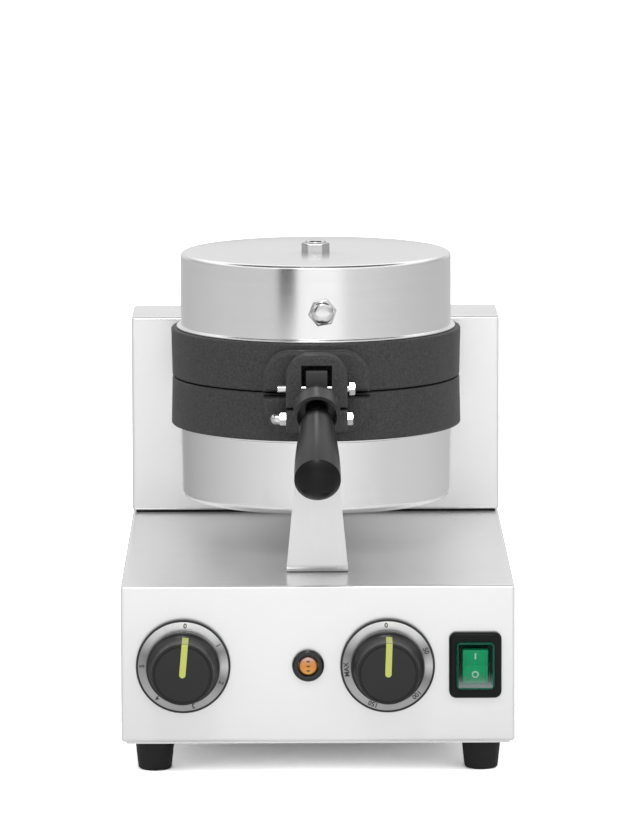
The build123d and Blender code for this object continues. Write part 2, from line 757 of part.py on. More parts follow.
def heater(side):
    """A round tubular element with two upturned ends."""
    level = BOWL_BACK + HEATER_R - HEATER_GROOVE
    start = radians(90 + HEATER_END_ANGLE)
    sweep_angle = 360 - 2 * HEATER_END_ANGLE
    section = Pos(HEATER_RING_R, 0, 0) * (Plane.XZ * Circle(HEATER_R))
    ring = revolve(section, axis=Axis.Z, revolution_arc=sweep_angle)
    ring = Pos(0, 0, level) * Rot(0, 0, 90 + HEATER_END_ANGLE) * ring
    for sign in (-1, 1):
        x = sign * HEATER_RING_R * cos(start)
        y = HEATER_RING_R * sin(start)
        ring += Pos(x, y, level) * (Sphere(HEATER_R) + disc(HEATER_R, HEATER_END_H))
    return in_head(ring, side)


def heater_clamp(side):
    """A disc that presses the element on the plate, notched for the element's ends."""
    plate = disc(CLAMP_R, CLAMP_T, M10_R + HOLE_CLEAR)
    plate -= Pos(0, CLAMP_R, 0) * Box(CLAMP_NOTCH_W, 2 * (CLAMP_R - HEATER_RING_R + 2 * HEATER_R), 4)
    return in_head(Pos(0, 0, CLAMP_BACK) * plate, side)


def clamp_nut(side):
    return in_head(Pos(0, 0, MAT_BACK) * hexagon(M10_AF, M10_NUT_H, M10_R + HOLE_CLEAR), side)


def insulation(side):
    """A mat of mineral fibre that lies on the clamp."""
    mat = disc(UPPER_CASING_R - CASING_T - MAT_EDGE_GAP, MAT_T, MAT_HOLE_R)
    notch = Box(CLAMP_NOTCH_W, 2 * (CLAMP_R - HEATER_RING_R + 2 * HEATER_R), 3 * MAT_T)
    mat -= Pos(0, CLAMP_R, 0) * notch
    if side > 0:
        mat -= Pos(SIDE_BOLT_X, -UPPER_CASING_R, 0) * Box(
            SIDE_BRACKET_W + 2 * SIDE_BRACKET_CLEAR,
            2 * (UPPER_CASING_R - CLAMP_R + SIDE_BRACKET_GRIP),
            3 * MAT_T,
        )
    return in_head(Pos(0, 0, MAT_BACK) * mat, side)


def centre_stud(side, casing_end):
    """A threaded rod from the plate's boss out through the casing."""
    start = BOWL_BACK + STUD_BOSS_H - STUD_DEPTH + 1
    return in_head(Pos(0, 0, start) * disc(M10_R, casing_end + M10_CAP_HEX_H - start), side)


def thermostat_bulb():
    """The thermostat's sensing bulb, held under the plate by the clamp."""
    space = (CLAMP_BACK - BOWL_BACK) / 2
    rod = facing(-BULB_L / 2, -BULB_OFFSET, BOWL_BACK + space, (1, 0, 0)) * disc(BULB_R, BULB_L)
    return in_head(rod, -1)


# Casings


def casing(rim_r, end_r, height, corner_r, foot_r):
    """A drawn cup over a plate, with an out-turned foot, drawn upwards from the ring's end."""
    foot_top = RING_H + FOOT_BEAD_H
    outside = make_face(
        Polyline(
            (0, 0, RING_H),
            (foot_r, 0, RING_H),
            (foot_r, 0, foot_top),
            (rim_r, 0, foot_top + (foot_r - rim_r) / 3),
            (end_r, 0, RING_H + height),
            (0, 0, RING_H + height),
            close=True,
        )
    )
    corner = outside.vertices().sort_by_distance((end_r, 0, RING_H + height))[0]
    outside = fillet(corner, corner_r)
    inside = make_face(
        Polyline(
            (0, 0, RING_H),
            (rim_r - CASING_T, 0, RING_H),
            (end_r - CASING_T, 0, RING_H + height - CASING_T),
            (0, 0, RING_H + height - CASING_T),
            close=True,
        )
    )
    corner = inside.vertices().sort_by_distance((end_r - CASING_T, 0, RING_H + height - CASING_T))[0]
    inside = fillet(corner, corner_r - CASING_T)
    cup = revolve(outside, axis=Axis.Z) - revolve(inside, axis=Axis.Z)
    return cup - Pos(0, 0, RING_H) * disc(M10_R + HOLE_CLEAR, height + 1)


def side_bolt_seat():
    """The side bolt's seat on the casing's inner wall, its Z running out through the wall."""
    inner = UPPER_CASING_R - CASING_T
    y = -sqrt(inner**2 - SIDE_BOLT_X**2)
    return facing(SIDE_BOLT_X, HEAD_Y + y, PARTING_Z + SIDE_BOLT_H, (0, -1, 0))


def lid_gland_seat():
    """The lid lead's gland on the upper casing's outer wall, its Z running outwards."""
    angle = radians(LID_GLAND_ANGLE)
    x = UPPER_CASING_R * cos(angle)
    y = HEAD_Y + UPPER_CASING_R * sin(angle)
    return facing(x, y, PARTING_Z + LID_GLAND_H, (cos(angle), sin(angle), 0))


def upper_casing():
    cup = in_head(
        casing(
            UPPER_CASING_R, UPPER_CASING_R, UPPER_CASING_H, UPPER_CASING_CORNER_R, UPPER_FOOT_R
        ),
        1,
    )
    cup -= side_bolt_seat() * Pos(0, 0, -5) * disc(M10_R + HOLE_CLEAR, 15)
    return cup - lid_gland_seat() * Pos(0, 0, -6) * disc(GLAND_R + HOLE_CLEAR, 12)


def lower_casing():
    end_r = LOWER_CASING_R - LOWER_CASING_DRAFT
    cup = in_head(
        casing(LOWER_CASING_R, end_r, LOWER_CASING_H, LOWER_CASING_CORNER_R, LOWER_FOOT_R), -1
    )
    low = PARTING_Z - LOWER_END
    return cup - Pos(0, HEAD_Y + LEAD_TUBE_BACK, low - 1) * disc(LEAD_TUBE_R + HOLE_CLEAR, 4)


def casing_cap_nut(side, casing_end):
    nut = cap_nut(M10_AF, M10_CAP_HEX_H, M10_CAP_H, M10_R + HOLE_CLEAR, M10_CAP_HEX_H + 1)
    return in_head(Pos(0, 0, casing_end) * nut, side)


def side_bracket():
    """A bent strip that stands on the clamp and backs the side bolt."""
    seat_y = -sqrt((UPPER_CASING_R - CASING_T) ** 2 - (SIDE_BRACKET_W / 2 + SIDE_BOLT_X) ** 2)
    front = seat_y
    top = SIDE_BOLT_H + SIDE_BRACKET_TOP
    foot_l = -front - CLAMP_R + SIDE_BRACKET_GRIP
    upright = Pos(0, front + SIDE_BRACKET_T / 2, (MAT_BACK + top) / 2) * Box(
        SIDE_BRACKET_W, SIDE_BRACKET_T, top - MAT_BACK
    )
    lying = Pos(0, front + foot_l / 2, MAT_BACK + SIDE_BRACKET_T / 2) * Box(
        SIDE_BRACKET_W, foot_l, SIDE_BRACKET_T
    )
    strip = Pos(SIDE_BOLT_X, 0, 0) * (upright + lying)
    strip = in_head(strip, 1)
    behind = side_bracket_gap() + SIDE_BRACKET_T
    strip -= side_bolt_seat() * Pos(0, 0, -behind - M10_CAP_HEX_H - 1) * disc(
        M10_AF / sqrt(3) + 0.6, M10_CAP_HEX_H + 1
    )
    return strip - side_bolt_seat() * Pos(0, 0, -20) * disc(M10_R + HOLE_CLEAR, 40)


def side_bracket_gap():
    """How far the flat bracket's outer face stands inside the casing's wall at the bolt."""
    inner = UPPER_CASING_R - CASING_T
    wall = sqrt(inner**2 - SIDE_BOLT_X**2)
    return wall - sqrt(inner**2 - (SIDE_BRACKET_W / 2 + SIDE_BOLT_X) ** 2)


def side_bolt():
    back = side_bracket_gap() + SIDE_BRACKET_T
    bolt = hex_bolt(M10_R, M10_AF, M10_CAP_HEX_H, back + CASING_T + M10_CAP_HEX_H)
    return side_bolt_seat() * Pos(0, 0, -back) * bolt


def side_cap_nut():
    nut = cap_nut(M10_AF, M10_CAP_HEX_H, M10_CAP_H, M10_R + HOLE_CLEAR, M10_CAP_HEX_H + 1)
    inner = UPPER_CASING_R - CASING_T
    out = UPPER_CASING_R - sqrt(inner**2 - SIDE_BOLT_X**2) + SEAT_CLEAR
    return side_bolt_seat() * Pos(0, 0, out) * Rot(0, 0, SIDE_NUT_TURN) * nut


def lead_tube():
    """A short flanged tube that carries the lower element's leads down into the base."""
    low = BASE_TOP - LEAD_TUBE_PAST
    high = PARTING_Z - LOWER_END + LEAD_TUBE_PAST
    flange = LEAD_TUBE_FLANGE_T
    tube = Pos(0, 0, low) * disc(LEAD_TUBE_R, high - low)
    tube += Pos(0, 0, BASE_TOP) * disc(LEAD_TUBE_FLANGE_R, flange)
    tube += Pos(0, 0, PARTING_Z - LOWER_END - flange) * disc(LEAD_TUBE_FLANGE_R, flange)
    tube -= Pos(0, 0, low) * disc(LEAD_TUBE_BORE_R, high - low)
    return Pos(0, HEAD_Y + LEAD_TUBE_BACK, 0) * tube


# Rear hinge


def hinge_bracket():
    low, high = bracket_levels()
    plate_y = COLUMN_Y - BRACKET_PLATE_T / 2
    plate = Pos(0, plate_y, (low + high) / 2) * Box(BRACKET_PLATE_W, BRACKET_PLATE_T, high - low)
    top = Pos(HINGE_Y, HINGE_Z) * Circle(CHEEK_R)
    bottom = Pos(HINGE_Y, SUPPORT_Z) * Circle(CHEEK_R)
    root = Pos(plate_y, (low + high) / 2) * Rectangle(BRACKET_PLATE_T / 2, high - low - 4)
    side = make_hull(top.edges() + bottom.edges() + root.edges())
    cheek = extrude(Plane.YZ * side, CHEEK_T)
    body = plate + Pos(CHEEK_IN_X, 0, 0) * cheek + Pos(-CHEEK_OUT_X, 0, 0) * cheek
    body -= rod_hole(HINGE_Y, HINGE_Z, HINGE_PIN_R + HOLE_CLEAR / 2, 3 * KNUCKLE_W)
    body -= rod_hole(HINGE_Y, SUPPORT_Z, M8_R + HOLE_CLEAR, 3 * KNUCKLE_W)
    for x, z in bracket_screw_points():
        body -= facing(x, COLUMN_Y, z, (0, 1, 0)) * drill(M5_R + HOLE_CLEAR, 2 * BRACKET_PLATE_T)
    return body


def cross_bolt(z, radius):
    length = 2 * CHEEK_OUT_X + M8_NUT_H + 2
    bolt = hex_bolt(radius, M8_AF, M8_HEAD_H, length)
    return facing(-CHEEK_OUT_X, HINGE_Y, z, (1, 0, 0)) * bolt


def bracket_nuts():
    nut = hexagon(M8_AF, M8_NUT_H, M8_R + HOLE_CLEAR)
    return [facing(CHEEK_OUT_X, HINGE_Y, z, (1, 0, 0)) * nut for z in (HINGE_Z, SUPPORT_Z)]


# Front strut


def strut_top_point():
    """Where the strut's top screw enters the latch lug from below."""
    return 0, CLEVIS_FRONT_Y + STRUT_TOP_L / 2, PARTING_Z - LUG_BOTTOM


def front_strut():
    """A bent strip: a foot on the base, a leaning post, and a short shelf under the lug."""
    top = PARTING_Z - LUG_BOTTOM
    shelf_front = CLEVIS_FRONT_Y - STRUT_T
    foot_rear = STRUT_FRONT_Y + STRUT_FOOT_L
    shelf_rear = shelf_front + STRUT_TOP_L + STRUT_T
    outer = FilletPolyline(
        (foot_rear, BASE_TOP),
        (STRUT_FRONT_Y, BASE_TOP),
        (shelf_front, top),
        (shelf_rear, top),
        radius=STRUT_BEND_R + STRUT_T,
    )
    strip = offset(outer, amount=STRUT_T, side=Side.RIGHT)
    section = make_face(strip)
    body = extrude(Plane.YZ * section, STRUT_W / 2, both=True)
    rise = STRUT_SHOULDER_H
    shoulder = STRUT_SHOULDER_W / 2
    neck = STRUT_NECK_W / 2
    lean_out = STRUT_W / 2
    full = top - BASE_TOP + 1
    shape = make_face(
        Polyline(
            (-lean_out, -1),
            (lean_out, -1),
            (lean_out, STRUT_T),
            (shoulder, rise),
            (neck, rise),
            (neck, full),
            (-neck, full),
            (-neck, rise),
            (-shoulder, rise),
            (-lean_out, STRUT_T),
            close=True,
        )
    )
    corners = [v for v in shape.vertices() if abs(abs(v.X) - shoulder) < 0.01]
    shape = fillet(corners, STRUT_SHOULDER_R / 2)
    face_on = facing(0, STRUT_FRONT_Y, BASE_TOP, (0, -1, 0))
    body &= face_on * extrude(shape, STRUT_REACH, both=True)
    for x, y in strut_foot_points():
        body -= Pos(x, y, BASE_TOP) * drill(M5_R + HOLE_CLEAR)
    x, y, z = strut_top_point()
    return body - Pos(x, y, z) * drill(M5_R + HOLE_CLEAR)


def frame_screws():
    """The hexagon screws of the strut and of the hinge bracket."""
    down = hex_bolt(M5_R, M5_AF, M5_HEAD_H, STRUT_T + SHEET_T + SCREW_PAST)
    found = [
        facing(x, y, BASE_TOP + STRUT_T, (0, 0, -1)) * down for x, y in strut_foot_points()
    ]
    x, y, z = strut_top_point()
    up = hex_bolt(M5_R, M5_AF, M5_HEAD_H, STRUT_T + STRUT_SCREW_IN_LUG - SEAT_CLEAR)
    found.append(Pos(x, y, z - STRUT_T) * up)
    back = hex_bolt(M5_R, M5_AF, M5_HEAD_H, BRACKET_PLATE_T + SHEET_T + SCREW_PAST)
    for x, z in bracket_screw_points():
        found.append(facing(x, COLUMN_Y - BRACKET_PLATE_T, z, (0, 1, 0)) * back)
    return found


# Latch handle


def lever_side():
    """The lever's side view about its pivot: tongue, boss and a hook before the latch bolt."""
    tongue_w = TONGUE_FRONT + TONGUE_BACK
    tongue = Pos((TONGUE_BACK - TONGUE_FRONT) / 2, TONGUE_TOP / 2) * Rectangle(tongue_w, TONGUE_TOP)
    tops = [v for v in tongue.vertices() if v.Y > TONGUE_TOP - 0.01]
    tongue = fillet(tops, TONGUE_EDGE_R)
    seat_r = M5_R + HOOK_CLEAR
    reach = PIN_DROP - seat_r
    cheek = Circle(reach) & Pos(-HOOK_T / 2 - seat_r / 4, -reach / 2) * Rectangle(
        HOOK_T + 1.5 * seat_r, reach
    )
    arm_low = -PIN_DROP - HOOK_BELOW_PIN
    arm = Pos(-seat_r - HOOK_T / 2, arm_low / 2) * Rectangle(HOOK_T, -arm_low)
    foot_corner = [v for v in arm.vertices() if v.Y < arm_low + 0.01]
    arm = fillet(foot_corner, HOOK_T / 4)
    side = tongue + Circle(TONGUE_FRONT) + cheek + arm
    return side - Pos(0, -PIN_DROP) * Circle(seat_r)


def handle_lever():
    side = extrude(Plane.YZ * lever_side(), TONGUE_W / 2, both=True)
    body = Pos(0, PIVOT_Y, PIVOT_Z) * side
    floor = BELL_RIM - CUP_DEPTH
    flare = Spline(
        (BELL_START_R, 0, BELL_START),
        (BELL_R, 0, BELL_SHOULDER),
        tangents=[(0.35, 0, 1), (0, 0, 1)],
    )
    rim = Polyline(
        (BELL_R, 0, BELL_SHOULDER),
        (BELL_R, 0, BELL_RIM),
        (BELL_R - BELL_LIP_T, 0, BELL_RIM),
        (BELL_R - BELL_LIP_T - 1, 0, floor),
        (0, 0, floor),
        (0, 0, TONGUE_W / 4),
        (TONGUE_W / 2 - 0.2, 0, TONGUE_W / 4),
        (BELL_START_R, 0, BELL_START),
    )
    bell = revolve(make_face(flare + rim), axis=Axis.Z)
    bell -= Pos(0, 0, floor - GRIP_STUD_IN_LEVER) * disc(GRIP_STUD_R + HOLE_CLEAR / 2, CUP_DEPTH * 2)
    body += on_handle() * bell
    return body - rod_hole(PIVOT_Y, PIVOT_Z, M5_R + RUN_CLEAR, 2 * TONGUE_W)


def handle_stud():
    floor = BELL_RIM - CUP_DEPTH
    start = floor - GRIP_STUD_IN_LEVER + 0.5
    return on_handle() * Pos(0, 0, start) * disc(GRIP_STUD_R, GRIP_STUD_IN_LEVER + GRIP_STUD_IN_GRIP)


def handle_grip():
    """A grip that swells from its neck and ends in a shallow dome with a crisp edge."""
    floor = BELL_RIM - CUP_DEPTH
    third = (GRIP_CREASE - BELL_RIM) / 3
    swell = Spline(
        (GRIP_NECK_R, 0, BELL_RIM),
        (GRIP_NECK_R + (GRIP_R - GRIP_NECK_R) * 0.66, 0, BELL_RIM + third),
        (GRIP_NECK_R + (GRIP_R - GRIP_NECK_R) * GRIP_BULGE, 0, BELL_RIM + 2 * third),
        (GRIP_R, 0, GRIP_CREASE),
        tangents=[(0.5, 0, 1), (0, 0, 1)],
    )
    side, up = dome_middle(GRIP_R, GRIP_DOME_H)
    tip = (0, 0, GRIP_CREASE + GRIP_DOME_H)
    dome = ThreePointArc((GRIP_R, 0, GRIP_CREASE), (side, 0, GRIP_CREASE + up), tip)
    inner = Polyline(
        tip,
        (0, 0, floor),
        (GRIP_NECK_R, 0, floor),
        (GRIP_NECK_R, 0, BELL_RIM),
    )
    body = revolve(make_face(swell + dome + inner), axis=Axis.Z)
    body -= Pos(0, 0, floor) * disc(GRIP_STUD_R + HOLE_CLEAR / 2, GRIP_STUD_IN_GRIP + 2)
    return on_handle() * body


def pivot_bolt():
    """The bolt that the lever turns on, its head to the right and its end bare."""
    start = CLEVIS_W / 2 + PIVOT_HEAD_GAP
    bolt = hex_bolt(M5_R, M5_AF, M5_HEAD_H, start + CLEVIS_W / 2 + PIVOT_END_OUT)
    return facing(start, PIVOT_Y, PIVOT_Z, (-1, 0, 0)) * bolt


def latch_bolt():
    start = CLEVIS_W / 2
    bolt = hex_bolt(M5_R, M5_AF, M5_HEAD_H, start + CLEVIS_W / 2 + M5_NUT_H)
    return facing(start, PIVOT_Y, LATCH_Z, (-1, 0, 0)) * bolt


def latch_cap_nut():
    nut = cap_nut(M5_AF, M5_NUT_H, M5_CAP_H, M5_R + HOLE_CLEAR / 2, M5_NUT_H + 1)
    return facing(-CLEVIS_W / 2, PIVOT_Y, LATCH_Z, (-1, 0, 0)) * nut


# Controls


def dial_bezels():
    """The dark rims round both dials."""
    inner = DIAL_R - DIAL_RIM_W
    rim = turned(
        [
            (DIAL_BORE_R, 0),
            (DIAL_R, 0),
            (DIAL_R, DIAL_H - 0.5),
            (DIAL_R - 0.5, DIAL_H),
            (inner, DIAL_H),
            (inner, DIAL_SEAT_H),
            (DIAL_BORE_R, DIAL_SEAT_H),
        ]
    )
    return [on_panel(x) * rim for x in (TIMER_X, THERMOSTAT_X)]


def dial_plate(x):
    """The metal ring that carries a dial's marks."""
    plate = disc(DIAL_R - DIAL_RIM_W - 0.05, DIAL_PLATE_T, DIAL_BORE_R)
    return on_panel(x) * Pos(0, 0, DIAL_SEAT_H) * plate


def knob_turning():
    """A knob turned up Z from its back: a skirt, a hollowed flank and a flat cap."""
    lower = Polyline(
        (SHAFT_R, 0, KNOB_BACK),
        (SHAFT_R + 3, 0, KNOB_BACK),
        (SHAFT_R + 3, 0, KNOB_BACK + KNOB_HOLLOW),
        (KNOB_HOLLOW_R, 0, KNOB_BACK + KNOB_HOLLOW),
        (KNOB_HOLLOW_R, 0, KNOB_BACK),
        (KNOB_SKIRT_R, 0, KNOB_BACK),
        (KNOB_SKIRT_R, 0, KNOB_SKIRT_FRONT),
    )
    flank = Spline(
        (KNOB_SKIRT_R, 0, KNOB_SKIRT_FRONT),
        (KNOB_WAIST_R, 0, KNOB_WAIST),
        (KNOB_CAP_R, 0, KNOB_FRONT - KNOB_EDGE_R),
        tangents=[(-1, 0, 0.5), (0, 0, 1)],
    )
    eased = KNOB_EDGE_R * (1 - sqrt(0.5))
    edge = ThreePointArc(
        (KNOB_CAP_R, 0, KNOB_FRONT - KNOB_EDGE_R),
        (KNOB_CAP_R - eased, 0, KNOB_FRONT - eased),
        (KNOB_CAP_R - KNOB_EDGE_R, 0, KNOB_FRONT),
    )
    top = Polyline(
        (KNOB_CAP_R - KNOB_EDGE_R, 0, KNOB_FRONT),
        (0, 0, KNOB_FRONT),
        (0, 0, SHAFT_IN_KNOB),
        (SHAFT_R, 0, SHAFT_IN_KNOB),
        (SHAFT_R, 0, KNOB_BACK),
    )
    return revolve(make_face(lower + flank + edge + top), axis=Axis.Z)


def pointer_band():
    """The space of a pointer: along the flank, over the edge and on to the cap's centre."""
    half = POINTER_W / 2
    proud = KNOB_FRONT + POINTER_PROUD
    bar = Pos(0, KNOB_SKIRT_R / 2, (POINTER_SIDE_END + proud) / 2) * Box(
        POINTER_W, KNOB_SKIRT_R, proud - POINTER_SIDE_END
    )
    tip = Pos(0, 0, KNOB_FRONT - POINTER_DEEP) * disc(half, POINTER_DEEP + POINTER_PROUD)
    return bar + tip


def pointer_core():
    """What lies deeper in the knob than the pointer's inlay."""
    lower = Pos(0, 0, KNOB_BACK) * disc(KNOB_CAP_R - POINTER_DEEP, KNOB_WAIST - KNOB_BACK)
    upper = Pos(0, 0, KNOB_WAIST) * disc(
        KNOB_CAP_R - POINTER_DEEP, KNOB_FRONT - POINTER_DEEP - KNOB_WAIST
    )
    return lower + upper


def pointer_shape():
    """The coloured inlay of a knob, just proud of its surface."""
    grown = Pos(0, 0, POINTER_PROUD) * knob_turning() + knob_turning()
    skin = Pos(0, 0, KNOB_BACK) * disc(KNOB_WAIST_R + POINTER_PROUD, KNOB_FRONT)
    return (pointer_band() & grown & skin) - pointer_core()


def knob(x, rest):
    turn = on_panel(x) * Rot(0, 0, rest)
    return turn * (knob_turning() - pointer_shape())


def pointer(x, rest):
    return on_panel(x) * Rot(0, 0, rest) * pointer_shape()


def knob_shaft(x):
    length = SHAFT_IN_KNOB + SHEET_T + SHAFT_IN_BODY
    return on_panel(x) * Pos(0, 0, -SHEET_T - SHAFT_IN_BODY) * disc(SHAFT_R, length)


def control_bore(x):
    return on_panel(x) * Pos(0, 0, -SHEET_T - SHAFT_IN_BODY - 0.5) * disc(
        SHAFT_R + RUN_CLEAR, SHAFT_IN_BODY + 2
    )


def timer_body():
    block = Box(TIMER_BODY_W, TIMER_BODY_W, TIMER_BODY_D)
    block = fillet(block.edges().filter_by(Axis.Z), 2)
    return on_panel(TIMER_X) * Pos(0, 0, -SHEET_T - TIMER_BODY_D / 2) * block - control_bore(TIMER_X)


def thermostat_body():
    body = disc(THERMOSTAT_BODY_R, THERMOSTAT_BODY_D)
    seat = on_panel(THERMOSTAT_X) * Pos(0, 0, -SHEET_T - THERMOSTAT_BODY_D)
    return seat * body - control_bore(THERMOSTAT_X)


def lamp_bezel():
    """A black rim with a funnel mouth, and its barrel behind the panel."""
    shape = turned(
        [
            (0, -LAMP_BODY_D),
            (LAMP_BODY_R, -LAMP_BODY_D),
            (LAMP_BODY_R, 0),
            (LAMP_R, 0),
            (LAMP_R, LAMP_H * 0.45),
            (LAMP_R - 1.6, LAMP_H),
            (LAMP_MOUTH_R, LAMP_H),
            (LAMP_LENS_R, LAMP_LENS_SEAT),
            (0, LAMP_LENS_SEAT),
        ]
    )
    return on_panel(LAMP_X) * shape


def lamp_lens():
    """A domed lens in the bezel's mouth."""
    slope = (LAMP_MOUTH_R - LAMP_LENS_R) / (LAMP_H - LAMP_LENS_SEAT)
    edge = LAMP_H - LAMP_LENS_SUNK
    outer = LAMP_LENS_R + slope * (edge - LAMP_LENS_SEAT) - SEAT_CLEAR
    side, up = dome_middle(outer, LAMP_LENS_RISE)
    dome = ThreePointArc(
        (outer, 0, edge), (side, 0, edge + up), (0, 0, edge + LAMP_LENS_RISE)
    )
    rest = Polyline(
        (0, 0, edge + LAMP_LENS_RISE),
        (0, 0, LAMP_LENS_SEAT),
        (LAMP_LENS_R - SEAT_CLEAR, 0, LAMP_LENS_SEAT),
        (outer, 0, edge),
    )
    return on_panel(LAMP_X) * revolve(make_face(dome + rest), axis=Axis.Z)


def switch_frame():
    frame = extrude(RectangleRounded(SWITCH_W, SWITCH_H, SWITCH_CORNER_R), SWITCH_PROUD)
    front = frame.faces().sort_by(Axis.Z)[-1]
    frame = fillet(front.edges(), SWITCH_PROUD * 0.5)
    frame -= extrude(RectangleRounded(WINDOW_W, WINDOW_H, COVER_CORNER_R), SWITCH_PROUD)
    frame += Pos(0, 0, -SWITCH_BODY_D / 2) * Box(SWITCH_BODY_W, SWITCH_BODY_H, SWITCH_BODY_D)
    well_w = ROCKER_W + 2 * ROCKER_SIDE_GAP
    frame -= Pos(0, 0, -ROCKER_WELL_D / 2) * Box(well_w, ROCKER_WELL_H, ROCKER_WELL_D)
    axle_l = well_w + 2 * ROCKER_PIN_L + 0.4
    axle = facing(-axle_l / 2, 0, -ROCKER_PIVOT_IN, (1, 0, 0)) * disc(
        ROCKER_PIN_R + RUN_CLEAR, axle_l
    )
    return on_panel(SWITCH_X) * (frame - axle)


def switch_cover():
    """A clear splash cover, a shallow box over the rocker."""
    width = WINDOW_W - 2 * COVER_FIT
    height = WINDOW_H - 2 * COVER_FIT
    outer = extrude(RectangleRounded(width, height, COVER_CORNER_R - COVER_FIT), COVER_PROUD)
    front = outer.faces().sort_by(Axis.Z)[-1]
    outer = fillet(front.edges(), COVER_WALL)
    inner = extrude(
        RectangleRounded(
            width - 2 * COVER_WALL, height - 2 * COVER_WALL, COVER_CORNER_R - COVER_WALL
        ),
        COVER_PROUD - COVER_WALL,
    )
    return on_panel(SWITCH_X) * (outer - inner)


def switch_rocker():
    """A see-saw button with a shallow valley across its face, set to off."""
    half = ROCKER_H / 2
    side = make_face(
        Polyline(
            (0, ROCKER_VALLEY),
            (half, ROCKER_END),
            (half, ROCKER_END - 3),
            (half * 0.55, -ROCKER_PIVOT_IN - 4),
            (-half * 0.55, -ROCKER_PIVOT_IN - 4),
            (-half, ROCKER_END - 3),
            (-half, ROCKER_END),
            close=True,
        )
    )
    body = extrude(Plane.YZ * side, ROCKER_W / 2, both=True)
    pin_l = ROCKER_W + 2 * ROCKER_SIDE_GAP + 2 * ROCKER_PIN_L
    body += facing(-pin_l / 2, 0, -ROCKER_PIVOT_IN, (1, 0, 0)) * disc(ROCKER_PIN_R, pin_l)
    pivot = Pos(0, 0, -ROCKER_PIVOT_IN)
    tilted = pivot * Rot(ROCKER_TILT, 0, 0) * Pos(0, 0, ROCKER_PIVOT_IN) * body
    return on_panel(SWITCH_X) * tilted


# Wiring pieces


def gland_shape():
    """A cable gland on a wall: hexagon and cap outside, thread inside."""
    cap_r = GLAND_AF / 2 - 1.5
    outside = hexagon(GLAND_AF, GLAND_HEX_H) + Pos(0, 0, GLAND_HEX_H) * turned(
        [
            (0, 0),
            (cap_r, 0),
            (cap_r, (GLAND_OUT - GLAND_HEX_H) * 0.6),
            (GLAND_BORE_R + 2, GLAND_OUT - GLAND_HEX_H),
            (0, GLAND_OUT - GLAND_HEX_H),
        ]
    )
    inside = Pos(0, 0, -GLAND_IN) * disc(GLAND_R, GLAND_IN)
    bore = Pos(0, 0, -GLAND_IN) * disc(GLAND_BORE_R, GLAND_IN + GLAND_OUT)
    return outside + inside - bore


def cable_glands():
    """The mains lead's gland behind the base, and the lid lead's on the column."""
    mains = facing(MAINS_GLAND_X, REAR_Y, BASE_BOTTOM + MAINS_GLAND_H, (0, 1, 0))
    lead = facing(LEAD_GLAND_X, COLUMN_Y, BASE_TOP + LEAD_GLAND_H, (0, -1, 0))
    return [mains * gland_shape(), lead * gland_shape()]


def lid_gland():
    sag = UPPER_CASING_R - sqrt(UPPER_CASING_R**2 - GLAND_COLLAR_R**2)
    collar = Pos(0, 0, -sag - 1) * disc(GLAND_COLLAR_R, sag + 1 + GLAND_HEX_H / 2, GLAND_BORE_R)
    around = facing(0, HEAD_Y, PARTING_Z, (0, 0, 1)) * disc(UPPER_CASING_R, UPPER_TOP)
    collar = lid_gland_seat() * collar - around
    return lid_gland_seat() * gland_shape() + collar


def terminal_block():
    y = REAR_Y - TERMINAL_FROM_REAR
    block = Box(TERMINAL_W, TERMINAL_D, TERMINAL_H)
    count = 4
    pitch = TERMINAL_W / count
    for n in range(count):
        x = pitch * (n + 0.5) - TERMINAL_W / 2
        block -= Pos(x, 0, TERMINAL_H / 4) * extrude(Circle(pitch / 4), TERMINAL_H)
    return Pos(MAINS_GLAND_X / 2, y, BASE_BOTTOM + TERMINAL_H / 2) * block


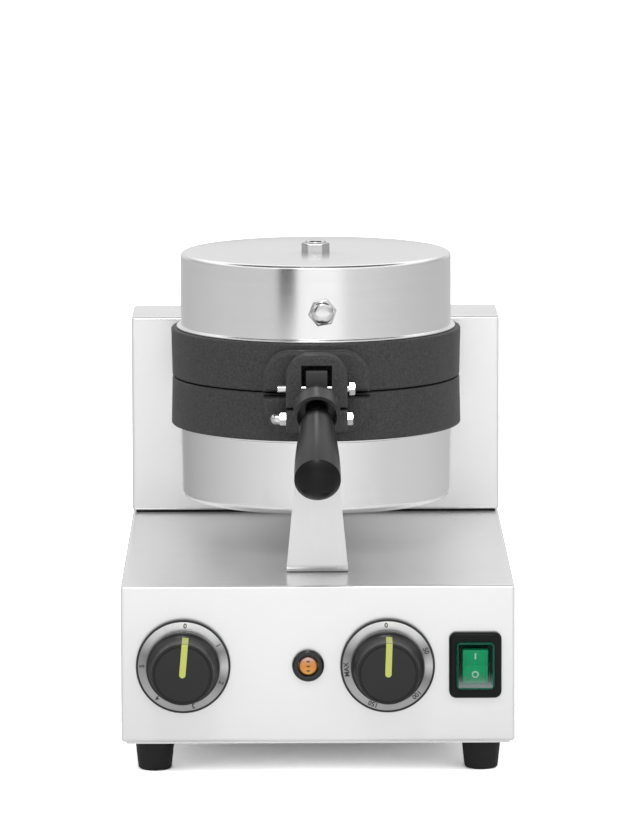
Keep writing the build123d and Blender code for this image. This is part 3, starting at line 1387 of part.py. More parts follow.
def pieces():
    """Every node's name and its solid or solids."""
    return {
        "base_housing": base_housing(),
        "base_floor": base_floor(),
        "feet": feet(),
        "foot_screws": foot_screws(),
        "column_housing": column_housing(),
        "column_gasket": column_gasket(),
        "column_back_cover": column_back_cover(),
        "sheet_screws": sheet_screws(),
        "front_strut": front_strut(),
        "frame_screws": frame_screws(),
        "hinge_bracket": hinge_bracket(),
        "hinge_pin": cross_bolt(HINGE_Z, HINGE_PIN_R),
        "support_bolt": cross_bolt(SUPPORT_Z, M8_R),
        "bracket_nuts": bracket_nuts(),
        "lower_plate": lower_plate(),
        "lower_heater": heater(-1),
        "lower_heater_clamp": heater_clamp(-1),
        "lower_clamp_nut": clamp_nut(-1),
        "lower_insulation": insulation(-1),
        "lower_stud": centre_stud(-1, LOWER_END),
        "lower_casing": lower_casing(),
        "lower_cap_nut": casing_cap_nut(-1, LOWER_END),
        "thermostat_bulb": thermostat_bulb(),
        "lead_tube": lead_tube(),
        "latch_bolt": latch_bolt(),
        "latch_cap_nut": latch_cap_nut(),
        "upper_plate": upper_plate(),
        "upper_heater": heater(1),
        "upper_heater_clamp": heater_clamp(1),
        "upper_clamp_nut": clamp_nut(1),
        "upper_insulation": insulation(1),
        "upper_stud": centre_stud(1, UPPER_TOP),
        "upper_casing": upper_casing(),
        "upper_cap_nut": casing_cap_nut(1, UPPER_TOP),
        "side_bracket": side_bracket(),
        "side_bolt": side_bolt(),
        "side_cap_nut": side_cap_nut(),
        "lid_gland": lid_gland(),
        "pivot_bolt": pivot_bolt(),
        "handle_lever": handle_lever(),
        "handle_stud": handle_stud(),
        "handle_grip": handle_grip(),
        "dial_bezels": dial_bezels(),
        "timer_dial": dial_plate(TIMER_X),
        "timer_body": timer_body(),
        "timer_shaft": knob_shaft(TIMER_X),
        "timer_knob": knob(TIMER_X, TIMER_REST),
        "timer_pointer": pointer(TIMER_X, TIMER_REST),
        "thermostat_dial": dial_plate(THERMOSTAT_X),
        "thermostat_body": thermostat_body(),
        "thermostat_shaft": knob_shaft(THERMOSTAT_X),
        "thermostat_knob": knob(THERMOSTAT_X, THERMOSTAT_REST),
        "thermostat_pointer": pointer(THERMOSTAT_X, THERMOSTAT_REST),
        "lamp_bezel": lamp_bezel(),
        "lamp_lens": lamp_lens(),
        "switch_frame": switch_frame(),
        "switch_cover": switch_cover(),
        "switch_rocker": switch_rocker(),
        "cable_glands": cable_glands(),
        "terminal_block": terminal_block(),
    }


def solids_of(shape):
    parts = shape if isinstance(shape, list) else [shape]
    return [solid for part in parts for solid in part.solids()]


os.makedirs("parts", exist_ok=True)
for name, shape in pieces().items():
    found = solids_of(shape)
    export_step(found[0] if len(found) == 1 else Compound(found), f"parts/{name}.step")
print("front face of the base at y =", round(FRONT_Y, 3))
print("hinge axis y, z =", round(HINGE_Y, 3), round(HINGE_Z, 3))
print("latch pivot y, z =", round(PIVOT_Y, 3), round(PIVOT_Z, 3))
print("controls at z =", round(CONTROL_Z, 3))
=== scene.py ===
import json
from math import cos, pi, radians, sin, tan

import bmesh
import bpy
from bpy.props import FloatProperty, FloatVectorProperty, IntProperty, PointerProperty
from mathutils import Matrix, Vector
from mathutils.bvhtree import BVHTree
from mathutils.geometry import interpolate_bezier

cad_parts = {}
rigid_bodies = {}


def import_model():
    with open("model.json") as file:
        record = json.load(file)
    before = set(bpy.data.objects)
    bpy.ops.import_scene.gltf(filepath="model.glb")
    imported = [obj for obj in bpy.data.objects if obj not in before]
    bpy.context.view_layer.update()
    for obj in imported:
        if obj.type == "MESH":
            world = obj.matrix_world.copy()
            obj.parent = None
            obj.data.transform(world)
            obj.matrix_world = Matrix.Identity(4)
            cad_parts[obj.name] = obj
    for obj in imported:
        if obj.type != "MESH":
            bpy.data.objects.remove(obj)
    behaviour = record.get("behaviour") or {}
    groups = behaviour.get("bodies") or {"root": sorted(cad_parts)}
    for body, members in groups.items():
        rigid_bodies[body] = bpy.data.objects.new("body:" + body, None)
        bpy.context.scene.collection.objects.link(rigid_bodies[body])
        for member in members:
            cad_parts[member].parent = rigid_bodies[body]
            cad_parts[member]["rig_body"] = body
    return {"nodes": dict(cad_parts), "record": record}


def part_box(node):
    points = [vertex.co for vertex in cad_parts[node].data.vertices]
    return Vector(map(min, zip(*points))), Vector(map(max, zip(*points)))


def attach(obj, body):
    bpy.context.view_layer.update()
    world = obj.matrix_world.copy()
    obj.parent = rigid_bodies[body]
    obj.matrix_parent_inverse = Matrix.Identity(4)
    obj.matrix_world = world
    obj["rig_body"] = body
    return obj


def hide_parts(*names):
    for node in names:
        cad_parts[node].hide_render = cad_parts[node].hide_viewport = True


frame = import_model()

bl_info = {
    "name": "Burger press looks",
    "version": (1, 0, 0),
    "blender": (4, 5, 0),
    "location": "3D View > Sidebar > Press",
    "description": "Dresses the packed press with detailed pieces, finishes and a studio",
    "category": "Object",
}

NODES = frame["nodes"]
SLOT_OF = {s["node"]: s["material_slot"] for s in frame["record"]["subparts"]}
MM = 0.001
OUT = Vector((0, -1, 0))
UP = Vector((0, 0, 1))


def span(node):
    """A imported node's lowest and highest corners, and its middle."""
    low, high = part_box(node)
    return low, high, (low + high) / 2


def half_width(node):
    """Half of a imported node's width, which is the radius of a round one."""
    low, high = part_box(node)
    return (high.x - low.x) / 2


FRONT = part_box("base_housing")[0].y


def seat(at, towards):
    """Where a piece that is drawn up Z goes, so that it points towards a direction."""
    return Matrix.Translation(at) @ Vector(towards).to_track_quat("Z", "Y").to_matrix().to_4x4()


def panel_seat(node):
    """A control's seat on the box's front face, in line with the middle of its node."""
    middle = span(node)[2]
    return seat((middle.x, FRONT, middle.z), OUT)


def stands_out(node):
    """How far a control's back and front stand out from the box's front face."""
    low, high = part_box(node)
    return FRONT - high.y, FRONT - low.y


# Sizes and colours that a user may change


def length(name, about, value):
    """A size that is written in millimetres."""
    return FloatProperty(name=name, description=about, default=value * MM, unit="LENGTH")


def distance(name, about, value):
    """A size that is written in metres."""
    return FloatProperty(name=name, description=about, default=value, unit="LENGTH")


def slant(name, about, degrees):
    """An angle that is written in degrees."""
    return FloatProperty(name=name, description=about, default=radians(degrees), subtype="ANGLE")


def hue(name, about, *value):
    """A colour as it renders under plain light."""
    return FloatVectorProperty(
        name=name, description=about, default=value, size=3, subtype="COLOR", min=0, max=1
    )


class PressSizes(bpy.types.PropertyGroup):
    """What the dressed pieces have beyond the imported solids"""

    turns: IntProperty(name="Turning steps", description="Sides of a turned piece", default=144)
    casing_wall: length("Casing wall", "Thickness of the drawn casings", 1.2)
    upper_flare: length("Upper flare", "How far the upper casing's foot stands out", 2.8)
    lower_flare: length("Lower flare", "How far the lower casing's foot stands out", 1.2)
    lower_draft: length("Lower draft", "How far the lower casing narrows to its end", 0.8)
    upper_round: length("Upper round", "Radius at the upper casing's end", 3.0)
    lower_round: length("Lower round", "Radius at the lower casing's end", 6.0)
    bead: length("Bead", "Height of the casings' rolled foot", 1.6)
    nut_hex: length("Nut hexagon", "Height of the cap nuts' hexagon", 5.6)
    nut_chamfer: length("Nut chamfer", "Rounding of the cap nuts' front edges", 1.3)
    nut_dome: length("Nut dome", "How far the cap nuts' domes rise", 2.3)
    stud_hole: length("Stud hole", "Radius of the casings' middle hole", 5.2)
    knob_face: length("Knob face", "Radius of a knob's flat face", 17.3)
    knob_groove: length("Knob groove", "Width and depth of the groove round the face", 0.9)
    knob_cap: length("Knob cap", "Radius of a knob behind its face", 19.6)
    knob_shoulder: length("Knob shoulder", "How far out the flank meets the skirt", 11.6)
    knob_hollow: length("Knob hollow", "Radius of the hollow back", 20.8)
    letter: length("Letter height", "Height of the figures on the dials", 3.0)
    letter_ring: length("Letter ring", "Radius at which the figures stand", 26.05)
    ink: length("Ink", "Thickness of the printed figures", 0.06)
    lens: length("Lens radius", "Radius of the lamp's lens", 6.3)
    mark: length("Switch marks", "Height of the marks on the switch", 4.1)


class PressColours(bpy.types.PropertyGroup):
    """The colours of the finishes"""

    sheet: hue("Sheet", "Brushed sheet of the box and column", 0.90, 0.90, 0.90)
    casing: hue("Casing", "Drawn casings round the plates", 0.87, 0.87, 0.87)
    strut: hue("Strut", "Bright brushed strip", 0.74, 0.74, 0.74)
    zinc: hue("Zinc", "Plated bolts and nuts", 0.64, 0.64, 0.64)
    coat: hue("Coat", "Non-stick coat of the castings", 0.038, 0.038, 0.038)
    lever: hue("Lever", "Black paint of the lever", 0.040, 0.040, 0.040)
    grip: hue("Grip", "Black moulded grip", 0.003, 0.003, 0.003)
    knob: hue("Knob", "Charcoal knobs", 0.020, 0.020, 0.020)
    rim: hue("Rim", "Dark rims of the dials", 0.030, 0.030, 0.031)
    pointer: hue("Pointer", "Yellow-green pointers", 0.60, 0.64, 0.16)
    print: hue("Print", "Figures on the dials", 0.06, 0.06, 0.065)
    amber: hue("Amber", "The lamp's lens", 0.66, 0.22, 0.02)
    green: hue("Green", "The switch's button", 0.001, 0.37, 0.14)
    black: hue("Black plastic", "Switch frame and lamp bezel", 0.010, 0.011, 0.011)


def sizes():
    return bpy.context.scene.press_sizes


def colours():
    return bpy.context.scene.press_colours


# Finishes


class Value:
    """A number that a finish works with: arithmetic on it adds Math nodes."""

    def __init__(self, finish, socket):
        self.finish = finish
        self.socket = socket

    def _math(self, operation, first, second=None):
        inputs = {0: first} if second is None else {0: first, 1: second}
        return self.finish.add("ShaderNodeMath", {"operation": operation}, inputs)[0]

    def __add__(self, other):
        return self._math("ADD", self, other)

    def __radd__(self, other):
        return self._math("ADD", other, self)

    def __sub__(self, other):
        return self._math("SUBTRACT", self, other)

    def __rsub__(self, other):
        return self._math("SUBTRACT", other, self)

    def __mul__(self, other):
        return self._math("MULTIPLY", self, other)

    def __rmul__(self, other):
        return self._math("MULTIPLY", other, self)

    def __truediv__(self, other):
        return self._math("DIVIDE", self, other)

    def __neg__(self):
        return self._math("MULTIPLY", self, -1.0)

    def __abs__(self):
        return self._math("ABSOLUTE", self)

    def above(self, limit):
        return self._math("GREATER_THAN", self, limit)

    def below(self, limit):
        return self._math("LESS_THAN", self, limit)

    def root(self):
        return self._math("SQRT", self)

    def wave(self):
        return self._math("SINE", self)

    def heading(self, across):
        """The angle of a direction, from its two parts."""
        return self._math("ARCTAN2", self, across)


class Added:
    """A node that was added: its outputs by number or name."""

    def __init__(self, finish, node):
        self.finish = finish
        self.node = node

    def __getitem__(self, key):
        return Value(self.finish, self.node.outputs[key])


class Finish:
    """A node tree being filled, for a material or the world."""

    def __init__(self, tree):
        self.tree = tree
        tree.nodes.clear()

    def add(self, kind, settings=None, inputs=None):
        """Adds a node: its settings first, then its sockets' values or links."""
        node = self.tree.nodes.new(kind)
        for key, value in (settings or {}).items():
            if key == "stops":
                self._stops(node.color_ramp, value)
            else:
                setattr(node, key, value)
        for key, value in (inputs or {}).items():
            if isinstance(value, Value):
                self.tree.links.new(value.socket, node.inputs[key])
            elif isinstance(value, Added):
                self.tree.links.new(value.node.outputs[0], node.inputs[key])
            else:
                node.inputs[key].default_value = value
        return Added(self, node)

    @staticmethod
    def _stops(ramp, stops):
        while len(ramp.elements) < len(stops):
            ramp.elements.new(0.5)
        for element, (place, shade) in zip(ramp.elements, stops):
            element.position = place
            element.color = (shade, shade, shade, 1) if isinstance(shade, float) else (*shade, 1)

    def place(self, centre=(0, 0, 0), scale=(1, 1, 1)):
        """Object coordinates in metres, centred and stretched."""
        where = self.add("ShaderNodeTexCoord")["Object"]
        moved = [-c * s for c, s in zip(centre, scale)]
        inputs = {"Vector": where, "Location": moved, "Scale": scale}
        return self.add("ShaderNodeMapping", None, inputs)[0]

    def noise(self, vector, scale=1.0, detail=2.0, roughness=0.5):
        inputs = {"Vector": vector, "Scale": scale, "Detail": detail, "Roughness": roughness}
        return self.add("ShaderNodeTexNoise", None, inputs)["Fac"]

    def parts(self, vector):
        split = self.add("ShaderNodeSeparateXYZ", None, {0: vector})
        return split[0], split[1], split[2]

    def ramp(self, factor, stops):
        """A colour, or a grey that is one float, for each place that a factor passes."""
        return self.add("ShaderNodeValToRGB", {"stops": stops}, {0: factor})["Color"]

    def mix(self, factor, under, over):
        """A colour between two, each a link or three numbers."""
        under, over = (c if isinstance(c, Value) else (*c, 1) for c in (under, over))
        return self.add("ShaderNodeMix", {"data_type": "RGBA"}, {0: factor, 6: under, 7: over})[2]

    def mottle(self, tone, colour, spread):
        """A colour that runs a little darker and lighter with a tone from 0 to 1."""
        dark = [c * (1 - spread) for c in colour]
        light = [min(1.0, c * (1 + spread)) for c in colour]
        return self.mix(tone, dark, light)

    def bump(self, height, distance, strength=1.0):
        inputs = {"Height": height, "Distance": distance, "Strength": strength}
        return self.add("ShaderNodeBump", None, inputs)[0]


def material(name, fill):
    """A material by name, filled the first time it is asked for.

    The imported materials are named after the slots, so these have names of their own.
    """
    title = "press_" + name
    made = bpy.data.materials.get(title)
    if made is None:
        made = bpy.data.materials.new(title)
        made.use_nodes = True
        finish = Finish(made.node_tree)
        shader = finish.add("ShaderNodeBsdfPrincipled")
        finish.add("ShaderNodeOutputMaterial", None, {"Surface": shader})
        for key, value in fill(finish).items():
            socket = shader.node.inputs[key.replace("_", " ")]
            if isinstance(value, Value):
                finish.tree.links.new(value.socket, socket)
            else:
                socket.default_value = value
    return made


def brushed(name, colour, grain, roughness, spread, depth, **more):
    """Brushed metal. grain is how fine its strokes are along X, Y and Z; depth is in mm."""

    def fill(f):
        fine = f.noise(f.place(scale=grain), 1.0, 3.0, 0.65)
        coarse = f.noise(f.place(scale=[g * 0.2 for g in grain]), 1.0, 2.0)
        cloud = f.noise(f.place(), 14.0, 3.0)
        tone = fine * 0.5 + coarse * 0.25 + cloud * 0.25
        return {
            "Base_Color": f.mottle(tone, colour, spread),
            "Metallic": 1.0,
            "Roughness": roughness - 0.04 + tone * 0.08,
            "Normal": f.bump(fine * 0.6 + coarse * 0.4, depth * MM),
            **more,
        }

    return material(name, fill)


def sheet_steel():
    soft = {"spread": 0.02, "depth": 0.003, "Metallic": 0.6}
    return brushed("sheet_steel", colours().sheet, (60, 60, 700), 0.24, **soft)


def casing_steel():
    """Spun steel: its strokes run round, so its highlights stretch up and down."""
    spun = {"spread": 0.06, "depth": 0.005, "Anisotropic": 0.3, "Anisotropic_Rotation": 0.25}
    return brushed("casing_steel", colours().casing, (14, 14, 1100), 0.22, **spun)


def strut_steel():
    coarse = {"spread": 0.05, "depth": 0.012}
    return brushed("strut_steel", colours().strut, (500, 500, 60), 0.36, **coarse)


def cast_coat():
    """Dark non-stick coat over a fine cast grain."""

    def fill(f):
        grain = f.noise(f.place(), 800.0, 3.0, 0.7)
        pits = f.noise(f.place(), 1500.0, 1.0)
        cloud = f.noise(f.place(), 40.0, 3.0)
        speckle = f.ramp(grain, [(0.38, 0.0), (0.62, 1.0)])
        return {
            "Base_Color": f.mottle(speckle, colours().coat, 0.4),
            "Roughness": 0.42 + cloud * 0.2,
            "Normal": f.bump(grain * 0.7 + pits * 0.3, 0.45 * MM, 0.9),
            "Specular_IOR_Level": 0.5,
        }

    return material("cast_coat", fill)


def plain(name, colour, roughness, metallic=0.0, scale=900.0, depth=0.02, spread=0.15, **more):
    """A moulded, painted or plated surface with a fine grain, whose depth is in mm."""

    def fill(f):
        grain = f.noise(f.place(), scale, 3.0, 0.6)
        cloud = f.noise(f.place(), scale / 25, 2.0)
        tone = grain * 0.5 + cloud * 0.5
        return {
            "Base_Color": f.mottle(tone, colour, spread),
            "Metallic": metallic,
            "Roughness": roughness * 0.85 + tone * (roughness * 0.3),
            "Normal": f.bump(grain, depth * MM, 0.5),
            "Specular_IOR_Level": 0.5 if metallic else 0.32,
            **more,
        }

    return material(name, fill)


def zinc_plate():
    return plain("zinc_plate", colours().zinc, 0.16, metallic=1.0, depth=0.008, spread=0.08)


def lever_black():
    return plain("lever_black", colours().lever, 0.3, scale=1100.0, depth=0.04)


def grip_black():
    gloss = {"Specular_IOR_Level": 0.24}
    return plain("grip_black", colours().grip, 0.3, scale=300.0, depth=0.003, **gloss)


def knob_charcoal():
    return plain("knob_charcoal", colours().knob, 0.34, scale=1600.0, depth=0.03)


def rim_black():
    return plain("rim_black", colours().rim, 0.3)


def switch_black():
    dull = {"Specular_IOR_Level": 0.12}
    return plain("switch_black", colours().black, 0.36, scale=1400.0, **dull)


def bezel_black():
    return plain("bezel_black", colours().black, 0.18, Specular_IOR_Level=0.5)


def foot_rubber():
    return plain("foot_rubber", (0.014, 0.014, 0.014), 0.6, scale=600.0, depth=0.05)


def gasket_rubber():
    return plain("gasket_rubber", (0.008, 0.008, 0.008), 0.8)


def hinge_paint():
    return plain("hinge_paint", (0.035, 0.035, 0.035), 0.45, depth=0.05)


def pointer_green():
    return plain("pointer_green", colours().pointer, 0.3, spread=0.06)


def dial_print():
    return plain("dial_print", colours().print, 0.5)


def mark_white():
    return plain("mark_white", (0.52, 0.74, 0.62), 0.4, spread=0.04)


def fibre_mat():
    return plain("fibre_mat", (0.57, 0.52, 0.39), 0.95, scale=260.0, depth=0.6)


def heater_tube():
    return plain("heater_tube", (0.16, 0.14, 0.12), 0.45, metallic=1.0, scale=180.0, spread=0.3)


def bulb_copper():
    return plain("bulb_copper", (0.60, 0.30, 0.16), 0.32, metallic=1.0)


def glazed_ceramic():
    return plain("glazed_ceramic", (0.80, 0.78, 0.69), 0.25, spread=0.05)


def ivory_plastic():
    return plain("ivory_plastic", (0.69, 0.66, 0.58), 0.5, spread=0.05)


def dial_metal(node):
    """Bright metal brushed in circles. The sheen that such strokes throw is painted into its
    colour, lighter and darker round its middle.
    """

    def fill(f):
        x, _, z = f.parts(f.place(span(node)[2]))
        reach = (x * x + z * z).root()
        rings = f.add("ShaderNodeTexNoise", {"noise_dimensions": "1D"}, {"W": reach * 2400.0})[0]
        turn = x.heading(z) / (2 * pi) + 0.5
        # Painted sheen: the colour is lighter and darker by the angle round the middle.
        painted_sheen = [(0.0, 0.36), (0.14, 0.44), (0.23, 0.34), (0.30, 0.26), (0.38, 0.72), (0.5, 0.98)]
        painted_sheen += [(0.62, 0.80), (0.69, 0.26), (0.75, 0.62), (0.80, 0.24), (0.88, 0.40), (1.0, 0.36)]
        return {
            "Base_Color": f.ramp(turn + (rings - 0.5) * 0.06, painted_sheen),
            "Metallic": 1.0,
            "Roughness": 0.28 + rings * 0.12,
            "Normal": f.bump(rings, 0.008 * MM),
        }

    return material(node + "_metal", fill)


def amber_lens():
    """Moulded amber with dark dots up its middle. Its pale top and paler foot are painted
    highlights, its dark edge is painted shade, and it has a faint painted glow.
    """
    dot_width = 1.5 * MM
    dot_pitch = 3.0 * MM

    def fill(f):
        x, _, z = f.parts(f.place(span("lamp_lens")[2]))
        reach = (x * x + z * z).root() / sizes().lens
        rise = z / (2 * sizes().lens) + 0.5
        grain = f.noise(f.place(), 900.0, 2.0)
        # Amber with painted highlights, pale and pinkish at the top and paler at the foot; body
        # carries them.
        amber_and_painted_highlight = [(0.12, (0.72, 0.36, 0.06)), (0.5, tuple(colours().amber))]
        amber_and_painted_highlight += [(0.72, (0.60, 0.26, 0.10)), (0.9, (0.62, 0.44, 0.42))]
        body = f.ramp(rise + (grain - 0.5) * 0.2, amber_and_painted_highlight)
        across = x / dot_width
        beads = (z * (2 * pi / dot_pitch) + pi / 2).wave() - across * across + grain * 0.5
        dots = beads.above(0.5) * reach.below(0.72)
        # The dark edge is painted shade.
        edge = reach.above(0.84)
        spotted = f.mix(dots * 0.75, body, (0.05, 0.015, 0.005))
        return {
            "Base_Color": f.mix(edge * 0.8, spotted, (0.10, 0.03, 0.01)),
            "Roughness": 0.12 + grain * 0.06,
            # A faint painted glow of the unlit lens in its own colour, except at the dots and the
            # edge.
            "Emission_Color": f.mix(dots + edge, body, (0.02, 0.005, 0.0)),
            "Emission_Strength": 0.12,
            "Coat_Weight": 0.4,
        }

    return material("amber_lens", fill)


def clear_cover():
    """Clear moulded plastic, with a pale painted reflection towards its foot and dark green painted
    shade in its standing walls.
    """
    wall = 1.3 * MM

    def fill(f):
        low, high, middle = span("switch_cover")
        x, _, z = f.parts(f.place(middle))
        rise = z / (high.z - low.z) + 0.5
        cloud = f.noise(f.place(), 90.0, 3.0)
        # Less clear towards the foot, so that the pale painted reflection shows there.
        painted_reflection_haze = [(0.08, 0.38), (0.2, 0.18), (0.38, 0.03), (1.0, 0.02)]
        # Painted reflection: pale at the foot, going dark green above.
        painted_reflection_tint = f.ramp(rise, [(0.1, (0.44, 0.54, 0.52)), (0.35, (0.02, 0.26, 0.14))])
        # The standing walls: dark green painted shade, nearly opaque.
        painted_shade_sides = abs(x).above((high.x - low.x) / 2 - wall)
        painted_shade_ends = abs(z).above((high.z - low.z) / 2 - wall)
        return {
            "Base_Color": f.mix(painted_shade_sides + painted_shade_ends, painted_reflection_tint, (0.005, 0.10, 0.06)),
            "Roughness": 0.06 + cloud * 0.06,
            "Alpha": f.ramp(rise + (cloud - 0.5) * 0.1, painted_reflection_haze) + (painted_shade_sides + painted_shade_ends) * 0.85,
            "Specular_IOR_Level": 0.2,
        }

    return material("clear_cover", fill)


def rocker_green():
    """Saturated green with fine upright ribs across the button, and painted shade in the ribs'
    troughs.
    """
    pitch = 1.1 * MM

    def fill(f):
        x, _, _ = f.parts(f.place())
        ribs = (x * (2 * pi / pitch)).wave() * 0.5 + 0.5
        grain = f.noise(f.place(), 500.0, 2.0)
        return {
            # The colour follows the ribs too: painted shade, darker in their troughs.
            "Base_Color": f.mottle(ribs * 0.6 + grain * 0.4, colours().green, 0.3),
            "Roughness": 0.25 + grain * 0.1,
            "Normal": f.bump(ribs, 0.15 * MM, 0.5),
            "Specular_IOR_Level": 0.3,
        }

    return material("rocker_green", fill)


FINISH_OF_SLOT = {
    "steel_sheet": sheet_steel,
    "casing_steel": casing_steel,
    "zinc_fastener": zinc_plate,
    "cast_plate": cast_coat,
    "black_lever": lever_black,
    "strut_steel": strut_steel,
    "hinge_steel": hinge_paint,
    "black_phenolic": grip_black,
    "knob_plastic": knob_charcoal,
    "pointer_paint": pointer_green,
    "dial_rim": rim_black,
    "black_plastic": switch_black,
    "lamp_amber": amber_lens,
    "cover_clear": clear_cover,
    "rocker_green": rocker_green,
    "rubber_black": foot_rubber,
    "gasket_rubber": gasket_rubber,
    "mineral_wool": fibre_mat,
    "heater_steel": heater_tube,
    "copper_bulb": bulb_copper,
    "terminal_ceramic": glazed_ceramic,
    "body_plastic": ivory_plastic,
    "gland_plastic": switch_black,
}


def finish_for(node):
    """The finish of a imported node, from its material slot."""
    if SLOT_OF[node] == "dial_metal":
        return dial_metal(node)
    return FINISH_OF_SLOT[SLOT_OF[node]]()


# Meshes


def rounded(corners, steps=5):
    """An outline through corners given as (across, up, radius), each radius made an arc."""
    points = []
    for index, (across, up, radius) in enumerate(corners):
        here = Vector((across, up))
        if not radius:
            points.append(here)
            continue
        before = (Vector(corners[index - 1][:2]) - here).normalized()
        after = (Vector(corners[(index + 1) % len(corners)][:2]) - here).normalized()
        half = before.angle(after) / 2
        centre = here + (before + after).normalized() * (radius / sin(half))
        first = here + before * (radius / tan(half)) - centre
        last = here + after * (radius / tan(half)) - centre
        turn = first.angle(last)
        for step in range(steps + 1):
            part = step / steps * turn
            points.append(centre + (first * sin(turn - part) + last * sin(part)) / sin(turn))
    return points


def turned(profile, closed=False):
    """A bmesh of a profile, given as radius and height, spun round Z."""
    touching = 0.001 * MM
    bm = bmesh.new()
    verts = [bm.verts.new((radius, 0, height)) for radius, height in profile]
    edges = [bm.edges.new(pair) for pair in zip(verts, verts[1:])]
    if closed:
        edges.append(bm.edges.new((verts[-1], verts[0])))
    bmesh.ops.spin(
        bm,
        geom=verts + edges,
        axis=UP,
        cent=(0, 0, 0),
        angle=2 * pi,
        steps=sizes().turns,
        use_merge=True,
    )
    bmesh.ops.remove_doubles(bm, verts=bm.verts, dist=touching)
    bmesh.ops.recalc_face_normals(bm, faces=bm.faces)
    return bm


def sharpen(bm, limit=32):
    """Smooth shading, except across edges that turn by more than the limit in degrees."""
    for face in bm.faces:
        face.smooth = True
    for edge in bm.edges:
        if edge.is_manifold:
            edge.smooth = edge.calc_face_angle(0) < radians(limit)


def show(name, bm, finish):
    """Makes a bmesh an object of the scene, with a finish."""
    mesh = bpy.data.meshes.new(name)
    bm.to_mesh(mesh)
    bm.free()
    mesh.materials.append(finish)
    made = bpy.data.objects.new(name, mesh)
    bpy.context.scene.collection.objects.link(made)
    return made


def piece(name, bm, finish, node, *stands_for):
    """Makes a bmesh a piece that rides with a node's body, with the finish it is given, and hides
    the nodes that it stands for.
    """
    sharpen(bm)
    made = show(name, bm, finish)
    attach(made, NODES[node]["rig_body"])
    if stands_for:
        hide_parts(*stands_for)


def add_letters(bm, text, height, depth, matrix):
    """Adds figures, middled on the matrix's origin and standing along its Y."""
    capital = 0.7
    boldness = 0.04
    curve = bpy.data.curves.new(text, "FONT")
    curve.body = text
    curve.align_x = "CENTER"
    curve.align_y = "CENTER"
    curve.size = height / capital
    curve.extrude = depth / 2
    curve.offset = height * boldness
    curve.resolution_u = 3
    written = bpy.data.objects.new(text, curve)
    bpy.context.scene.collection.objects.link(written)
    bpy.context.view_layer.update()
    mesh = bpy.data.meshes.new_from_object(written)
    mesh.transform(matrix)
    bm.from_mesh(mesh)
    bpy.data.objects.remove(written)
    bpy.data.curves.remove(curve)
    bpy.data.meshes.remove(mesh)


def front_of(node, across, up):
    """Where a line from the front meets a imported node, and which way its surface faces."""
    bm = bmesh.new()
    bm.from_mesh(NODES[node].data)
    tree = BVHTree.FromBMesh(bm)
    bm.free()
    clear = 10 * MM
    start = Vector((across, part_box(node)[0].y - clear, up))
    at, facing, _, _ = tree.ray_cast(start, -OUT)
    return at, facing if facing.dot(OUT) > 0 else -facing


# Pieces


class PRESS_OT_finishes(bpy.types.Operator):
    """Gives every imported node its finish"""

    bl_idname = "press.finishes"
    bl_label = "Finishes"

    def execute(self, context):
        for name, node in NODES.items():
            node.data.materials.clear()
            node.data.materials.append(finish_for(name))
        return {"FINISHED"}


class PRESS_OT_casings(bpy.types.Operator):
    """Spins the two casings, each a thin cup with a rolled foot against its plate"""

    bl_idname = "press.casings"
    bl_label = "Casings"

    def cup(self, node, foot, flare, draft, end_round, up):
        """A cup whose foot stands out by its flare, and whose wall narrows by its draft."""
        low, high, middle = span(node)
        size = sizes()
        height = high.z - low.z
        wall = size.casing_wall
        rim = half_width(node) - flare
        end = rim - draft
        rolled = min(flare, size.bead) * 0.42
        hole_edge = 0.1 * MM
        foot_edge = 0.3 * MM
        corners = [
            (size.stud_hole, height, hole_edge),
            (end, height, end_round),
            (rim, size.bead, flare * 0.3),
            (rim + flare, size.bead, rolled),
            (rim + flare, 0, rolled),
            (rim - wall, 0, foot_edge),
            (end - wall, height - wall, end_round - wall),
            (size.stud_hole, height - wall, hole_edge),
        ]
        bm = turned(rounded(corners), closed=True)
        bm.transform(seat((middle.x, middle.y, foot), up))
        piece(node + "_spun", bm, casing_steel(), node, node)

    def execute(self, context):
        size = sizes()
        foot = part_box("upper_casing")[0].z
        self.cup("upper_casing", foot, size.upper_flare, 0, size.upper_round, UP)
        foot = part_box("lower_casing")[1].z
        self.cup("lower_casing", foot, size.lower_flare, size.lower_draft, size.lower_round, -UP)
        return {"FINISHED"}


class PRESS_OT_cap_nuts(bpy.types.Operator):
    """Makes the two cap nuts of the lid's casing, each a hexagon with a low dome"""

    bl_idname = "press.cap_nuts"
    bl_label = "Cap nuts"

    UPPER_TURN = radians(27)
    SIDE_TURN = radians(-20)

    def nut(self, node, foot, towards, radius, turn):
        """A nut that stands on its foot, with a radius over its corners and a turn about itself."""
        size = sizes()
        bm = bmesh.new()
        bmesh.ops.create_cone(
            bm, cap_ends=True, segments=6, radius1=radius, radius2=radius, depth=size.nut_hex
        )
        bm.transform(Matrix.Translation((0, 0, size.nut_hex / 2)) @ Matrix.Rotation(turn, 4, "Z"))
        bmesh.ops.bevel(
            bm,
            geom=[edge for edge in bm.edges if min(v.co.z for v in edge.verts) > size.nut_hex / 2],
            offset=size.nut_chamfer,
            affect="EDGES",
            segments=3,
            profile=0.5,
            material=-1,
        )
        reach = radius * cos(pi / 6) - size.nut_chamfer * 0.6
        base = size.nut_hex - 0.3 * MM
        high = size.nut_hex + size.nut_dome
        curve = [(reach, base), (reach * 0.96, high), (reach * 0.5, high), (0, high)]
        dome = turned([(0, base)] + [point[:2] for point in interpolate_bezier(*curve, 12)])
        mesh = bpy.data.meshes.new("dome")
        dome.to_mesh(mesh)
        dome.free()
        bm.from_mesh(mesh)
        bpy.data.meshes.remove(mesh)
        bm.transform(seat(foot, towards))
        piece(node + "_domed", bm, zinc_plate(), node, node)

    def execute(self, context):
        low, high, middle = span("upper_cap_nut")
        radius = max(high.x - low.x, high.y - low.y) / 2
        foot = (middle.x, middle.y, low.z)
        self.nut("upper_cap_nut", foot, UP, radius, self.UPPER_TURN)
        _, high, middle = span("side_cap_nut")
        foot = (middle.x, high.y, middle.z)
        self.nut("side_cap_nut", foot, OUT, radius, self.SIDE_TURN)
        return {"FINISHED"}


